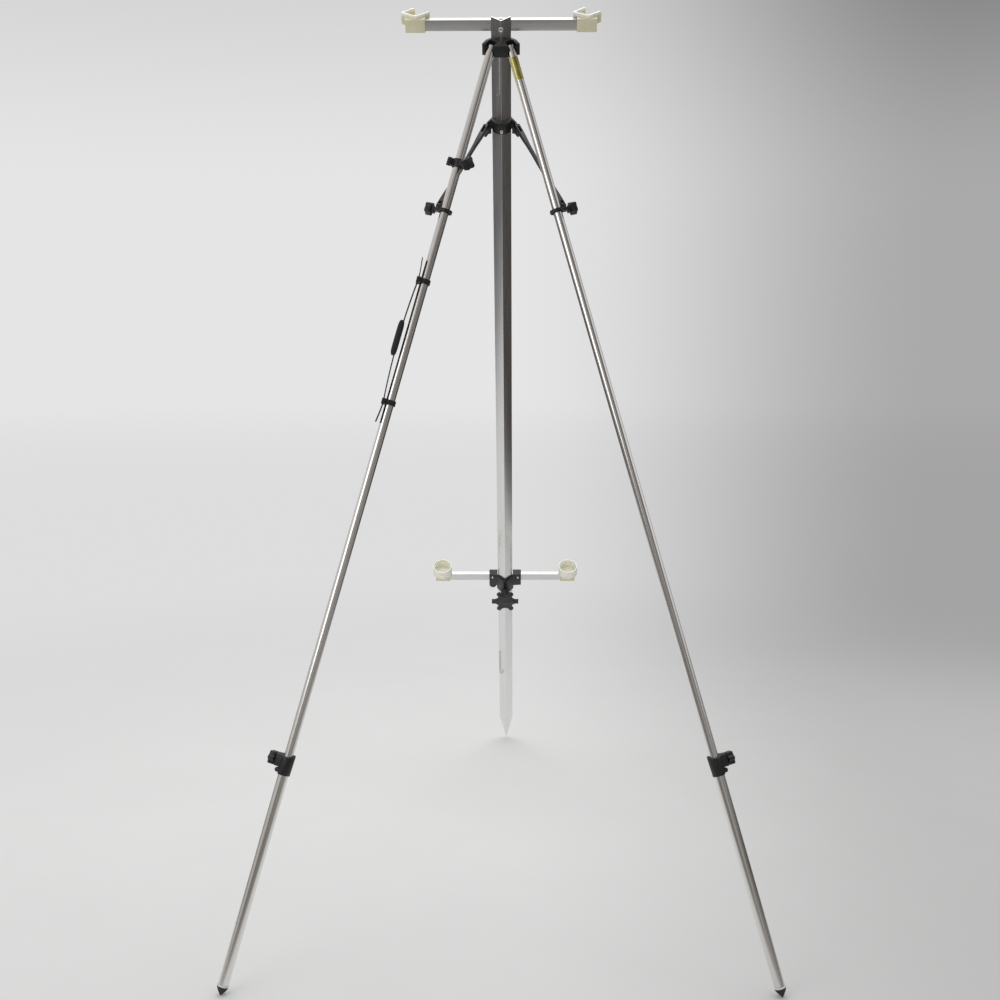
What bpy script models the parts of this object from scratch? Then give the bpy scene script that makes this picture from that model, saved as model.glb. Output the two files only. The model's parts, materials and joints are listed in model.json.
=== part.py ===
"""Surf rod tripod: a leaning aluminium angle stuck into the sand at its foot, held by two telescopic legs.

The long angle is the third leg. A collar near its top carries the two tube legs, and a spreader hub below
it carries two struts whose clamps slide along the legs. A crossbar at the top holds two rod rests, and a
second one low on the angle holds two cups for the rods' butts.

Lengths are in metres, angles in radians unless a name says degrees, and +Z is up. Each moving piece hangs
from an empty on its joint's axis. The post frame has its origin at the top of the angle's front edge, with
X to the right, Y to the back and Z up along the angle.
"""

import math

import bmesh
import bpy
from mathutils import Matrix, Vector

# The angle, which is the post and the third leg
POST_LENGTH = 2.050
POST_LEAN = math.radians(36.74)
FLANGE_WIDTH = 0.025
FLANGE_THICKNESS = 0.002
SPEAR_LENGTH = 0.077
SPEAR_BLUNT = 0.0007

# The legs, from the pivot pin down
PIVOT_ACROSS = 0.017
PIVOT_BACK = -0.001
PIVOT_DOWN = 0.0500
LEG_OPEN = math.radians(49.23)
LEG_AZIMUTH = math.radians(20.77)
UPPER_TUBE_RADIUS = 0.0078
UPPER_TUBE_WALL = 0.0012
UPPER_TUBE_TOP = 0.0042
UPPER_TUBE_LENGTH = 1.370
LOWER_TUBE_RADIUS = 0.0091
LOWER_TUBE_WALL = 0.0012
LOWER_TUBE_START = 1.284
LEG_PIN_RADIUS = 0.0024
LEG_PIN_PAST = 0.0135
PIN_HEAD = 1.62

# The feet
FOOT_TIP_RADIUS = 0.0045
FOOT_CUP_RADIUS = 0.0122
FOOT_CUP_HEIGHT = 0.0150
FOOT_RING_RADIUS = 0.0108
FOOT_RING_HEIGHT = 0.0030
FOOT_PLUG_LENGTH = 0.014

# The leg locks
LOCK_TOP = 1.277
LOCK_HEIGHT = 0.035
LOCK_RADIUS = 0.0120
LOCK_SCOOP = 0.005
LOCK_TAPER = 0.0011
LOCK_BOSS_REACH = 0.0195
LOCK_BOSS_WIDTH = 0.015
LOCK_BOSS_HEIGHT = 0.022
LOCK_KNOB_RADIUS = 0.0125
LOCK_KNOB_THICKNESS = 0.011
LOCK_SCREW_RADIUS = 0.0024
LOCK_BOSS_DOWN = 0.0012

# The top collar
COLLAR_TOP = 0.0395
COLLAR_HEIGHT = 0.0205
COLLAR_FRONT = 0.0148
COLLAR_FRONT_CURVE = 0.060
COLLAR_CHEEK_AHEAD = 0.008
COLLAR_CHEEK = 0.006

# The spreader hub, its struts and their clamps
HUB_TOP = 0.190
HUB_HEIGHT = 0.021
HUB_EAR_DROP = 0.0095
HUB_SHOULDER = math.radians(34)
HUB_FRONT = 0.0085
HUB_SCREW_RADIUS = 0.0018
HUB_SCREW_LENGTH = 0.0072
HUB_SCREW_UP = 0.0050
STRUT_PIVOT_DROP = 0.1515
STRUT_OFFSET = 0.0128
CLAMP_AT = 0.2945
STRUT_EAR = 0.004
STRUT_TINE = 0.002
STRUT_END_RADIUS = 0.0047
STRUT_WAIST = 0.0024
STRUT_SIDE_WAIST = 0.0038
STRUT_STRAIGHT = 0.016
STRUT_SLOT_UPPER = 0.0202
STRUT_SLOT_LOWER = -0.0085
STRUT_PIN_RADIUS = 0.0019
CLAMP_RING_HEIGHT = 0.005
CLAMP_RING_WALL = 0.0026
CLAMP_RING_PLAY = 0.0027
CLAMP_BOSS_REACH = 0.0220
CLAMP_BOSS_HEIGHT = 0.0110
CLAMP_BOSS_WIDTH = 0.0130
CLAMP_SCREW_RADIUS = 0.0015
CLAMP_KNOB_RADIUS = 0.0120
CLAMP_KNOB_THICKNESS = 0.011

# The crossbars and what they carry
BAR_HEIGHT = 0.020
BAR_DEPTH = 0.010
BAR_WALL = 0.0014
BAR_STANDOFF = 0.0040
UPPER_BAR_LENGTH = 0.329
UPPER_BAR_DOWN = 0.0185
BOLT_DOWN = 0.0145
LOWER_BAR_LENGTH = 0.336
BOLT_RADIUS = 0.0025
BOLT_HEAD_RADIUS = 0.0046
BOLT_HEAD_HEIGHT = 0.0026
SADDLE_HEIGHT = 0.026
SOCKET_LENGTH = 0.035
SOCKET_WALL = 0.0021
SOCKET_DEPTH = 0.031
FORK_HEIGHT = 0.0202
FORK_RISE = 0.0081
FORK_OFFSET = 0.0027
FORK_WALL = 0.0036
FORK_WEB = 0.0343
FORK_ARM = 0.0312
FORK_WEB_TURN = math.radians(28)
FORK_ARM_TURN = math.radians(49)
FORK_CORNER = 0.005
CUP_RADIUS = 0.0230
CUP_WALL = 0.0028
CUP_HEIGHT = 0.0235
CUP_FLOOR = 0.0030
WING_SPAN = 0.030
WING_THICKNESS = 0.0030

# The lower bracket
BRACKET_TOP = 1.414
BRACKET_HEIGHT = 0.047
BRACKET_EAR_HEIGHT = 0.036
BRACKET_BOSS_DOWN = 0.0355
BRACKET_FRONT = 0.0060
BRACKET_EAR_CLEAR = 0.0013223
BRACKET_EAR_WIDTH = 0.0200
BRACKET_EAR_ROOT = 0.0068
BRACKET_EAR_WALL = 0.0051
BAR_SCREW_IN = 0.008
BRACKET_BOSS_RADIUS = 0.0105
BRACKET_BOSS_REACH = 0.028
STAR_RADIUS = 0.033
STAR_THICKNESS = 0.009
STAR_SCALLOP = 0.0105
STAR_PRONGS = 6
THUMB_RADIUS = 0.009
THUMB_HEIGHT = 0.010
THUMB_SCREW_RADIUS = 0.0022
STAR_SCREW_RADIUS = 0.0030
PAD_RADIUS = 0.0024
PAD_FRONT = 0.0045

# The bag hooks
WIRE_RADIUS = 0.0009
HOOK_LENGTH = 0.076
HOOK_ROOT = 0.005
HOOK_SWING_UPPER = (-0.0045, -0.0030, 0)
HOOK_SWING_LOWER = (0.0070, -0.0070, 0)
HOOK_RETURN = 0.010
LOWER_HOOK_ALONG = 0.0215
LOWER_HOOK_TOP = 1.702

# The accessory clamp on the left leg
ACCESSORY_AT = 0.215
ACCESSORY_HEIGHT = 0.015
ACCESSORY_TURN = math.radians(32)
ACCESSORY_RADIUS = 0.0101
ACCESSORY_BOSS_REACH = 0.0200
ACCESSORY_BOSS = (0.014, 0.012, 0.011)
ACCESSORY_CLIP_TURN = math.radians(205)
ACCESSORY_CLIP_RADIUS = 0.0045
ACCESSORY_CLIP_WALL = 0.0022
ACCESSORY_KNOB_RADIUS = 0.0125
ACCESSORY_KNOB_THICKNESS = 0.009
ACCESSORY_SCREW_RADIUS = 0.0022

# The carry strap on the left leg
STRAP_TOP = 0.3930
STRAP_BOTTOM = 0.690
STRAP_WIDTH = 0.022
STRAP_THICKNESS = 0.0022
STRAP_TURN = math.radians(20)
STRAP_AT_BAND = 0.0114
STRAP_BOW = 0.0165
STRAP_TAIL = 0.0150
BAND_UPPER = 0.432
BAND_LOWER = 0.652
BAND_HEIGHT = 0.009
BAND_WALL = 0.0020
SLIDER_LENGTH = 0.063
SLIDER_THICKNESS = 0.011
SLIDER_AT = 0.539

# Clearances
GAP = 0.0003
SLIDE_GAP = 0.0003
PIN_GAP = 0.0003
SLEEVE_WALL = 0.0026
SLEEVE_LIP = 0.0018
SLEEVE_LIP_REACH = 0.005
SLOT_GAP = 0.0005

# Facets
TUBE_STEPS = 32
SMALL_STEPS = 16

ROOT2 = math.sqrt(2)
SIDES = {"left": -1, "right": 1}
OBJECT_NAME = "surf_rod_tripod"

# Worked out from the dimensions above
FLANGE_REACH = FLANGE_WIDTH / ROOT2
BRACKET_EAR_IN = FLANGE_REACH + BRACKET_EAR_CLEAR
BRACKET_EAR_OUT = BRACKET_EAR_IN + BRACKET_EAR_WIDTH
POST_BACK = (FLANGE_WIDTH + FLANGE_THICKNESS) / ROOT2
BAR_FRONT = POST_BACK + BAR_STANDOFF
BAR_MIDDLE = BAR_FRONT + BAR_DEPTH / 2
SOCKET_HALF_DEPTH = BAR_DEPTH / 2 + SLIDE_GAP + SOCKET_WALL
SOCKET_HALF_HEIGHT = BAR_HEIGHT / 2 + SLIDE_GAP + SOCKET_WALL
LEG_SLOT = UPPER_TUBE_RADIUS + SLOT_GAP
FORK_HALF = STRUT_EAR / 2 + GAP + STRUT_TINE
BRACKET_MIDDLE = BRACKET_TOP + BRACKET_HEIGHT / 2
LOWER_BAR_DOWN = BRACKET_TOP + 0.0145
BOSS_LEVEL = BRACKET_HEIGHT / 2 - BRACKET_BOSS_DOWN


def leg_drop():
    """How far the leg falls for each metre along it, with the post leaning."""
    ahead = math.sin(LEG_OPEN) * math.cos(LEG_AZIMUTH)
    return ahead * math.sin(POST_LEAN) + math.cos(LEG_OPEN) * math.cos(POST_LEAN)


def pivot_height():
    """Height of the leg's pivot over the ground when the post's tip touches it."""
    return (POST_LENGTH - PIVOT_DOWN) * math.cos(POST_LEAN) + PIVOT_BACK * math.sin(POST_LEAN)


def strut_length():
    """Distance between the strut's two pins, which the open leg settles."""
    ahead = CLAMP_AT * math.sin(LEG_OPEN)
    down = CLAMP_AT * math.cos(LEG_OPEN) - STRUT_PIVOT_DROP
    return math.hypot(ahead, down)


def strut_open():
    """The strut's angle from the post when the leg is open."""
    ahead = CLAMP_AT * math.sin(LEG_OPEN)
    down = CLAMP_AT * math.cos(LEG_OPEN) - STRUT_PIVOT_DROP
    return math.atan2(ahead, down)


LEG_TIP_AT = (pivot_height() - FOOT_TIP_RADIUS) / leg_drop()
FOOT_CUP_TOP = LEG_TIP_AT + FOOT_TIP_RADIUS - FOOT_CUP_HEIGHT
LOWER_TUBE_END = FOOT_CUP_TOP - FOOT_RING_HEIGHT - GAP
STRUT_LENGTH = strut_length()
STRUT_ANGLE = strut_open()


# Scene, collections and materials
def clear_scene():
    for thing in list(bpy.data.objects):
        bpy.data.objects.remove(thing, do_unlink=True)


def new_collection(name):
    made = bpy.data.collections.new(name)
    bpy.context.scene.collection.children.link(made)
    return made


def new_material(name, colour, roughness, metallic):
    made = bpy.data.materials.new(name)
    made.use_nodes = True
    shader = made.node_tree.nodes["Principled BSDF"]
    shader.inputs["Base Color"].default_value = (*colour, 1.0)
    shader.inputs["Roughness"].default_value = roughness
    shader.inputs["Metallic"].default_value = metallic
    made.diffuse_color = (*colour, 1.0)
    return made


clear_scene()
PARTS = new_collection(OBJECT_NAME)
CUTTERS = new_collection("cutters")


def material_for(kind):
    """One look for each kind of stuff, copied for each part so that each part has its own."""
    looks = {
        "anodised": ((0.33, 0.34, 0.35), 0.35, 1.0),
        "aluminium": ((0.62, 0.62, 0.61), 0.25, 1.0),
        "black": ((0.02, 0.02, 0.022), 0.5, 0.0),
        "cream": ((0.78, 0.79, 0.63), 0.45, 0.0),
        "steel": ((0.75, 0.75, 0.76), 0.2, 1.0),
        "rubber": ((0.015, 0.015, 0.015), 0.8, 0.0),
        "webbing": ((0.015, 0.015, 0.016), 0.9, 0.0),
        "pale": ((0.75, 0.74, 0.72), 0.4, 0.0),
    }
    return looks[kind]


def new_frame(name, parent, location, rotation=(0.0, 0.0, 0.0)):
    """An empty that carries pieces. Moving ones have it on their joint's axis."""
    made = bpy.data.objects.new(name, None)
    made.empty_display_size = 0.02
    made.location = location
    made.rotation_euler = rotation
    made.parent = parent
    PARTS.objects.link(made)
    return made


def new_object(name, mesh, parent, kind, location=(0.0, 0.0, 0.0), rotation=(0.0, 0.0, 0.0)):
    """A named part with a material of its own, or a cutter where kind is None."""
    made = bpy.data.objects.new(name, mesh)
    made.location = location
    made.rotation_euler = rotation
    made.parent = parent
    if kind is None:
        CUTTERS.objects.link(made)
        made.hide_render = True
        made.display_type = "WIRE"
        return made
    PARTS.objects.link(made)
    if not mesh.materials:
        mesh.materials.append(new_material(name, *material_for(kind)))
    return made


# Shapes
def arc(centre, radius, start, end, steps):
    """Points on an arc in a plane, ends included."""
    angles = [start + (end - start) * i / steps for i in range(steps + 1)]
    return [(centre[0] + radius * math.cos(a), centre[1] + radius * math.sin(a)) for a in angles]


def filleted(corners, radius, steps=3):
    """The outline with each corner rounded, by less where its sides are short."""
    points = []
    count = len(corners)
    for i in range(count):
        corner = Vector(corners[i])
        to_last = Vector(corners[i - 1]) - corner
        to_next = Vector(corners[(i + 1) % count]) - corner
        opening = to_last.angle(to_next)
        if opening > math.radians(165):
            points.append(tuple(corner))
            continue
        room = 0.45 * min(to_last.length, to_next.length)
        reach = min(radius / math.tan(opening / 2), room)
        first = corner + to_last.normalized() * reach
        last = corner + to_next.normalized() * reach
        for k in range(steps + 1):
            t = k / steps
            bend = first * (1 - t) ** 2 + corner * 2 * t * (1 - t) + last * t**2
            points.append(tuple(bend))
    return points


def mirrored_outline(half):
    """A closed outline from the half at +X, whose first and last points lie on X = 0."""
    other = [(-x, y) for x, y in reversed(half[1:-1])]
    return half + other


def cleaned(mesh):
    """The mesh with its loose seams welded and its flat faces whole, facing out."""
    shape = bmesh.new()
    shape.from_mesh(mesh)
    bmesh.ops.remove_doubles(shape, verts=shape.verts, dist=1e-6)
    bmesh.ops.recalc_face_normals(shape, faces=shape.faces)
    shape.to_mesh(mesh)
    shape.free()
    return mesh


def plate(outlines, thickness):
    """A flat plate in XY, centred on Z = 0. The first outline is its edge, the others are holes."""
    curve = bpy.data.curves.new("outline", "CURVE")
    curve.dimensions = "2D"
    curve.fill_mode = "BOTH"
    curve.extrude = thickness / 2
    for outline in outlines:
        spline = curve.splines.new("POLY")
        spline.points.add(len(outline) - 1)
        for point, (x, y) in zip(spline.points, outline):
            point.co = (x, y, 0.0, 1.0)
        spline.use_cyclic_u = True
    return mesh_of_curve(curve)


def mesh_of_curve(curve):
    """The curve's solid as a mesh."""
    holder = bpy.data.objects.new("curve_holder", curve)
    bpy.context.scene.collection.objects.link(holder)
    bpy.context.view_layer.update()
    evaluated = holder.evaluated_get(bpy.context.evaluated_depsgraph_get())
    mesh = bpy.data.meshes.new_from_object(evaluated)
    bpy.data.objects.remove(holder, do_unlink=True)
    bpy.data.curves.remove(curve)
    return cleaned(mesh)


def wire(points, radius):
    """A round wire through the points, with flat ends."""
    curve = bpy.data.curves.new("wire", "CURVE")
    curve.dimensions = "3D"
    curve.bevel_depth = radius
    curve.bevel_resolution = 2
    curve.use_fill_caps = True
    spline = curve.splines.new("POLY")
    spline.points.add(len(points) - 1)
    for point, place in zip(spline.points, points):
        point.co = (*place, 1.0)
    return mesh_of_curve(curve)


def box(size, centre):
    shape = bmesh.new()
    bmesh.ops.create_cube(shape, size=1.0)
    bmesh.ops.scale(shape, vec=size, verts=shape.verts)
    bmesh.ops.translate(shape, vec=centre, verts=shape.verts)
    mesh = bpy.data.meshes.new("box")
    shape.to_mesh(mesh)
    shape.free()
    return mesh


def rod(radius, low, high, steps=SMALL_STEPS):
    """A cylinder on Z from low to high."""
    shape = bmesh.new()
    bmesh.ops.create_cone(
        shape, cap_ends=True, segments=steps, radius1=radius, radius2=radius, depth=high - low
    )
    bmesh.ops.translate(shape, vec=(0, 0, (low + high) / 2), verts=shape.verts)
    mesh = bpy.data.meshes.new("rod")
    shape.to_mesh(mesh)
    shape.free()
    return mesh


def turned_mesh(profile, closed):
    """The edge line that a Screw modifier turns about Z, down its outer side first."""
    mesh = bpy.data.meshes.new("profile")
    edges = [(i, i + 1) for i in range(len(profile) - 1)]
    if closed:
        edges.append((len(profile) - 1, 0))
    mesh.from_pydata([(r, 0.0, z) for r, z in profile], edges, [])
    return mesh


def turned(name, profile, parent, kind, location=(0, 0, 0), rotation=(0, 0, 0), steps=TUBE_STEPS, closed=False):
    """A turned piece about its own Z."""
    made = new_object(name, turned_mesh(profile, closed), parent, kind, location, rotation)
    screw = made.modifiers.new("turned", "SCREW")
    screw.axis = "Z"
    screw.angle = 2 * math.pi
    screw.steps = steps
    screw.render_steps = steps
    screw.use_merge_vertices = True
    screw.merge_threshold = 1e-5
    screw.use_smooth_shade = True
    return made


def tube_profile(outer, inner, top, bottom):
    return [(outer, top), (outer, bottom), (inner, bottom), (inner, top)]


def upright(mesh, turn):
    mesh.transform(turn)
    return mesh


FACE_X = Matrix.Rotation(math.pi / 2, 4, "Y") @ Matrix.Rotation(math.pi / 2, 4, "Z")
FACE_BACK = Matrix.Rotation(-math.pi / 2, 4, "X")


def bevelled(thing, width, segments=2):
    """Rounds the edges that turn by more than 40 degrees."""
    bevel = thing.modifiers.new("rounded", "BEVEL")
    bevel.width = width
    bevel.segments = segments
    bevel.limit_method = "ANGLE"
    bevel.angle_limit = math.radians(40)
    bevel.use_clamp_overlap = True
    return thing


def combined(thing, other, operation):
    boolean = thing.modifiers.new(other.name, "BOOLEAN")
    boolean.object = other
    boolean.operation = operation
    return thing


def cut(thing, mesh, parent, location=(0, 0, 0), rotation=(0, 0, 0)):
    """Takes the mesh out of the thing."""
    count = len(CUTTERS.objects)
    cutter = new_object(f"cut_{count:03d}", mesh, parent, None, location, rotation)
    return combined(thing, cutter, "DIFFERENCE")


def joined(thing, mesh, parent, location=(0, 0, 0), rotation=(0, 0, 0)):
    """Makes the mesh part of the thing."""
    count = len(CUTTERS.objects)
    added = new_object(f"cut_{count:03d}", mesh, parent, None, location, rotation)
    return combined(thing, added, "UNION")


def lobed(radius, lobes, depth, steps):
    """A knob's outline, whose edge swings in between its lobes."""
    points = []
    for i in range(lobes * steps):
        turn = 2 * math.pi * i / (lobes * steps)
        reach = radius - depth * (0.5 - 0.5 * math.cos(lobes * turn))
        points.append((reach * math.sin(turn), reach * math.cos(turn)))
    return points


def star(radius, prongs, scallop, steps):
    """A star knob's outline: short rim arcs at the prongs, and a round scallop between each two."""
    half_tip = math.pi / prongs * 0.32
    half_gap = math.pi / prongs - half_tip
    chord = radius * math.sin(half_gap)
    curve = (chord**2 + scallop**2) / (2 * scallop)
    spread = math.asin(chord / curve)
    points = []
    for k in range(prongs):
        middle = 2 * math.pi * k / prongs
        centre_reach = radius * math.cos(half_gap) - scallop + curve
        centre = (centre_reach * math.sin(middle), centre_reach * math.cos(middle))
        for i in range(steps + 1):
            swing = middle + math.pi - spread + 2 * spread * i / steps
            points.append((centre[0] + curve * math.sin(swing), centre[1] + curve * math.cos(swing)))
    return fixed_order(points, prongs, steps + 1)


def fixed_order(points, groups, size):
    """The scallops' points in turn round the knob, each scallop run backwards to follow its rim."""
    ordered = []
    for k in range(groups):
        ordered.extend(reversed(points[k * size : (k + 1) * size]))
    return ordered


# Places about the post, in plan
def by_flange(along, off, side=1):
    """A point of the plan: along the flange from the front edge, and off its outer face."""
    return (side * (along + off) / ROOT2, (along - off) / ROOT2)


def by_leg(outboard, ahead, side=1):
    """A point of the plan: outboard of the leg's plane, and ahead of its pivot."""
    across = PIVOT_ACROSS + outboard * math.cos(LEG_AZIMUTH) + ahead * math.sin(LEG_AZIMUTH)
    back = PIVOT_BACK + outboard * math.sin(LEG_AZIMUTH) - ahead * math.cos(LEG_AZIMUTH)
    return (side * across, back)


def sleeve_meets_leg_slot(off, outboard):
    """Where a line off the flange's outer face crosses the plane outboard of the leg's."""
    plane = PIVOT_ACROSS * math.cos(LEG_AZIMUTH) + PIVOT_BACK * math.sin(LEG_AZIMUTH) + outboard
    slant = math.cos(LEG_AZIMUTH) - math.sin(LEG_AZIMUTH)
    along = (plane * ROOT2 - off * slant) / (math.cos(LEG_AZIMUTH) + math.sin(LEG_AZIMUTH))
    return by_flange(along, off)


def sleeve_inside(gap):
    """The stretch of outline that holds the flange: from its inner lip round the edge to the front."""
    inner = -FLANGE_THICKNESS - gap
    edge = FLANGE_WIDTH + gap
    return [
        by_flange(FLANGE_WIDTH - SLEEVE_LIP_REACH, inner - SLEEVE_LIP),
        by_flange(FLANGE_WIDTH - SLEEVE_LIP_REACH, inner),
        by_flange(edge, inner),
        by_flange(edge, gap),
        by_flange(-gap, gap),
    ]


def sleeve_back(gap):
    """The sleeve's corner behind the flange's edge."""
    reach = FLANGE_WIDTH + gap + SLEEVE_WALL
    return [by_flange(reach, 0.0005), by_flange(reach, -FLANGE_THICKNESS - gap - SLEEVE_LIP)]


def post_mesh():
    """The angle, cut off at a slant that leaves a spear point at its front edge."""
    inner = FLANGE_THICKNESS
    half = [
        (0.0, 0.0),
        by_flange(FLANGE_WIDTH, 0.0),
        by_flange(FLANGE_WIDTH, -inner),
        by_flange(inner, -inner),
    ]
    mesh = plate([mirrored_outline(half)], POST_LENGTH)
    mesh.transform(Matrix.Translation((0, 0, -POST_LENGTH / 2)))
    shape = bmesh.new()
    shape.from_mesh(mesh)
    rise = SPEAR_LENGTH / (POST_BACK - SPEAR_BLUNT)
    bmesh.ops.bisect_plane(
        shape,
        geom=shape.verts[:] + shape.edges[:] + shape.faces[:],
        plane_co=(0, SPEAR_BLUNT, -POST_LENGTH),
        plane_no=(0, rise, -1),
        clear_outer=True,
    )
    rim = [edge for edge in shape.edges if edge.is_boundary]
    bmesh.ops.triangle_fill(shape, edges=rim, use_beauty=True, use_dissolve=False)
    bmesh.ops.recalc_face_normals(shape, faces=shape.faces)
    shape.to_mesh(mesh)
    shape.free()
    return mesh


# Frames
ROOT = new_frame("tripod_base", None, (0, 0, 0))
POST = new_frame(
    "post_frame",
    ROOT,
    (0, -POST_LENGTH * math.sin(POST_LEAN), POST_LENGTH * math.cos(POST_LEAN)),
    (POST_LEAN, 0, 0),
)
SWIVEL = new_frame("crossbar_swivel", POST, (0, BAR_MIDDLE, -BOLT_DOWN))
UPPER_BAR = new_frame("upper_bar_middle", SWIVEL, (0, 0, BOLT_DOWN - UPPER_BAR_DOWN))
BRACKET = new_frame("bracket_slide", POST, (0, 0, -BRACKET_MIDDLE))
LOWER_BAR = new_frame("lower_bar_slide", BRACKET, (0, BAR_MIDDLE, BRACKET_MIDDLE - LOWER_BAR_DOWN))


def leg_frame(name, side):
    """On the leg's pivot, with X along the pin and Z up the leg."""
    place = (side * PIVOT_ACROSS, PIVOT_BACK, -PIVOT_DOWN)
    return new_frame(name, POST, place, (-LEG_OPEN, 0, side * LEG_AZIMUTH))


def strut_frame(name, side):
    """On the strut's hub pin, with X along the pin and Z from the clamp to the hub."""
    across, back = by_leg(STRUT_OFFSET, 0, side)
    place = (across, back, -PIVOT_DOWN - STRUT_PIVOT_DROP)
    return new_frame(name, POST, place, (-STRUT_ANGLE, 0, side * LEG_AZIMUTH))


LEGS = {name: leg_frame(f"leg_fold_{name}", side) for name, side in SIDES.items()}
STRUTS = {name: strut_frame(f"strut_fold_{name}", side) for name, side in SIDES.items()}
CLAMPS = {
    name: new_frame(
        f"strut_clamp_turn_{name}", STRUTS[name], (0, 0, -STRUT_LENGTH), (STRUT_ANGLE - LEG_OPEN, 0, 0)
    )
    for name in SIDES
}
HUB_PIN = {
    name: new_frame(f"hub_pin_{name}", POST, STRUTS[name].location, (0, 0, side * LEG_AZIMUTH))
    for name, side in SIDES.items()
}
COLLAR_PIN = {
    name: new_frame(f"collar_pin_{name}", POST, LEGS[name].location, (0, 0, side * LEG_AZIMUTH))
    for name, side in SIDES.items()
}
ALONG_X = (0, math.pi / 2, 0)
ALONG_BACK = (-math.pi / 2, 0, 0)
ALONG_FRONT = (math.pi / 2, 0, 0)


# The post and what is fixed to it
def build_post():
    post = new_object("mast_angle", post_mesh(), POST, "anodised")
    cut(post, rod(BOLT_RADIUS + PIN_GAP, -0.01, 0.02), POST, (0, 0, -BOLT_DOWN), ALONG_BACK)


def collar_outline():
    """The collar in plan: a sleeve on the angle, a wedge between the legs and a cheek outside each."""
    off = GAP + SLEEVE_WALL
    front_back = -COLLAR_FRONT + COLLAR_FRONT_CURVE
    slot_slant = PIVOT_BACK - LEG_SLOT * math.sin(LEG_AZIMUTH)
    ahead = (slot_slant + COLLAR_FRONT - 0.002) / math.cos(LEG_AZIMUTH)
    corner = by_leg(-LEG_SLOT, ahead)
    swing = math.asin(corner[0] / COLLAR_FRONT_CURVE)
    front = arc((0, front_back), COLLAR_FRONT_CURVE, -math.pi / 2, -math.pi / 2 + swing, 4)
    cheek = LEG_SLOT + COLLAR_CHEEK
    half = front + [
        sleeve_meets_leg_slot(off, -LEG_SLOT),
        by_flange(FLANGE_WIDTH - 0.0035, off),
        by_leg(LEG_SLOT, -0.011),
        by_leg(LEG_SLOT, COLLAR_CHEEK_AHEAD),
        by_leg(cheek, COLLAR_CHEEK_AHEAD),
        by_leg(cheek, -0.010),
    ]
    return mirrored_outline(half + sleeve_back(GAP) + sleeve_inside(GAP))


def build_collar():
    block = plate([collar_outline()], COLLAR_HEIGHT)
    collar = new_object("top_collar", block, POST, "black", (0, 0, -COLLAR_TOP - COLLAR_HEIGHT / 2))
    bevelled(collar, 0.0006, 1)
    for name, side in SIDES.items():
        hole = rod(LEG_PIN_RADIUS + PIN_GAP, -0.014, 0.020)
        cut(collar, hole, COLLAR_PIN[name], (0, 0, 0), (0, side * math.pi / 2, 0))


def hub_outline():
    """The hub in plan: a sleeve with a blunt front, and an ear at each side for a strut's fork."""
    off = GAP + SLEEVE_WALL
    ear_in = STRUT_OFFSET - STRUT_EAR / 2
    ear_out = STRUT_OFFSET + STRUT_EAR / 2
    half = [
        (0, -HUB_FRONT),
        (0.0075, -HUB_FRONT + 0.001),
        (0.0125, -0.0030),
        (0.0165, 0.0045),
        by_flange(FLANGE_WIDTH - 0.0035, off),
        by_leg(ear_in, -0.0085),
        by_leg(ear_in, 0.0045),
        by_leg(ear_out, 0.0045),
        by_leg(ear_out, -0.0100),
    ]
    return mirrored_outline(half + sleeve_back(GAP) + sleeve_inside(GAP))


def build_hub():
    """The hub's sleeve and ears, cut short between the ears and sloped on its shoulders."""
    height = HUB_HEIGHT + HUB_EAR_DROP
    block = plate([hub_outline()], height)
    hub = new_object("spreader_hub", block, POST, "black", (0, 0, -HUB_TOP - height / 2))
    bevelled(hub, 0.0006, 1)
    between = (2 * FLANGE_REACH + 0.003, 0.1, 2 * HUB_EAR_DROP)
    cut(hub, box(between, (0, 0, -HUB_TOP - height)), POST)
    for name, side in SIDES.items():
        slope = box((0.08, 0.1, 0.04), (side * 0.04, 0, 0.02))
        cut(hub, slope, POST, (side * FLANGE_REACH * 0.9, 0, -HUB_TOP), (0, side * HUB_SHOULDER, 0))
        hole = rod(STRUT_PIN_RADIUS + PIN_GAP, -0.008, 0.008)
        cut(hub, hole, HUB_PIN[name], (0, 0, 0), ALONG_X)
    screw_at = -HUB_TOP - HUB_HEIGHT + HUB_SCREW_UP
    cut(hub, rod(HUB_SCREW_RADIUS + PIN_GAP, -0.020, 0.001), POST, (0, 0, screw_at), ALONG_BACK)
    head = 2.1 * HUB_SCREW_RADIUS
    profile = [
        (0, 0.0022),
        (head * 0.7, 0.0017),
        (head, 0.0002),
        (head, 0),
        (HUB_SCREW_RADIUS, 0),
        (HUB_SCREW_RADIUS, -HUB_SCREW_LENGTH),
        (0, -HUB_SCREW_LENGTH),
    ]
    turned("hub_screw", profile, POST, "steel", (0, -HUB_FRONT - GAP, screw_at), ALONG_FRONT, SMALL_STEPS)


def hook_end(top, swing, steps=8):
    """A wire hook's run from its top point: straight down, round a half turn of the swing, a little way up."""
    start = Vector(top)
    points = [start + Vector((0, 0, -HOOK_LENGTH * i / 3)) for i in range(4)]
    half = Vector(swing) / 2
    middle = points[-1] + half
    for i in range(1, steps + 1):
        turn = math.pi * i / steps
        points.append(middle - half * math.cos(turn) + Vector((0, 0, -half.length * math.sin(turn))))
    points.append(points[-1] + Vector((0, 0, HOOK_RETURN)))
    return [tuple(point) for point in points]


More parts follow.
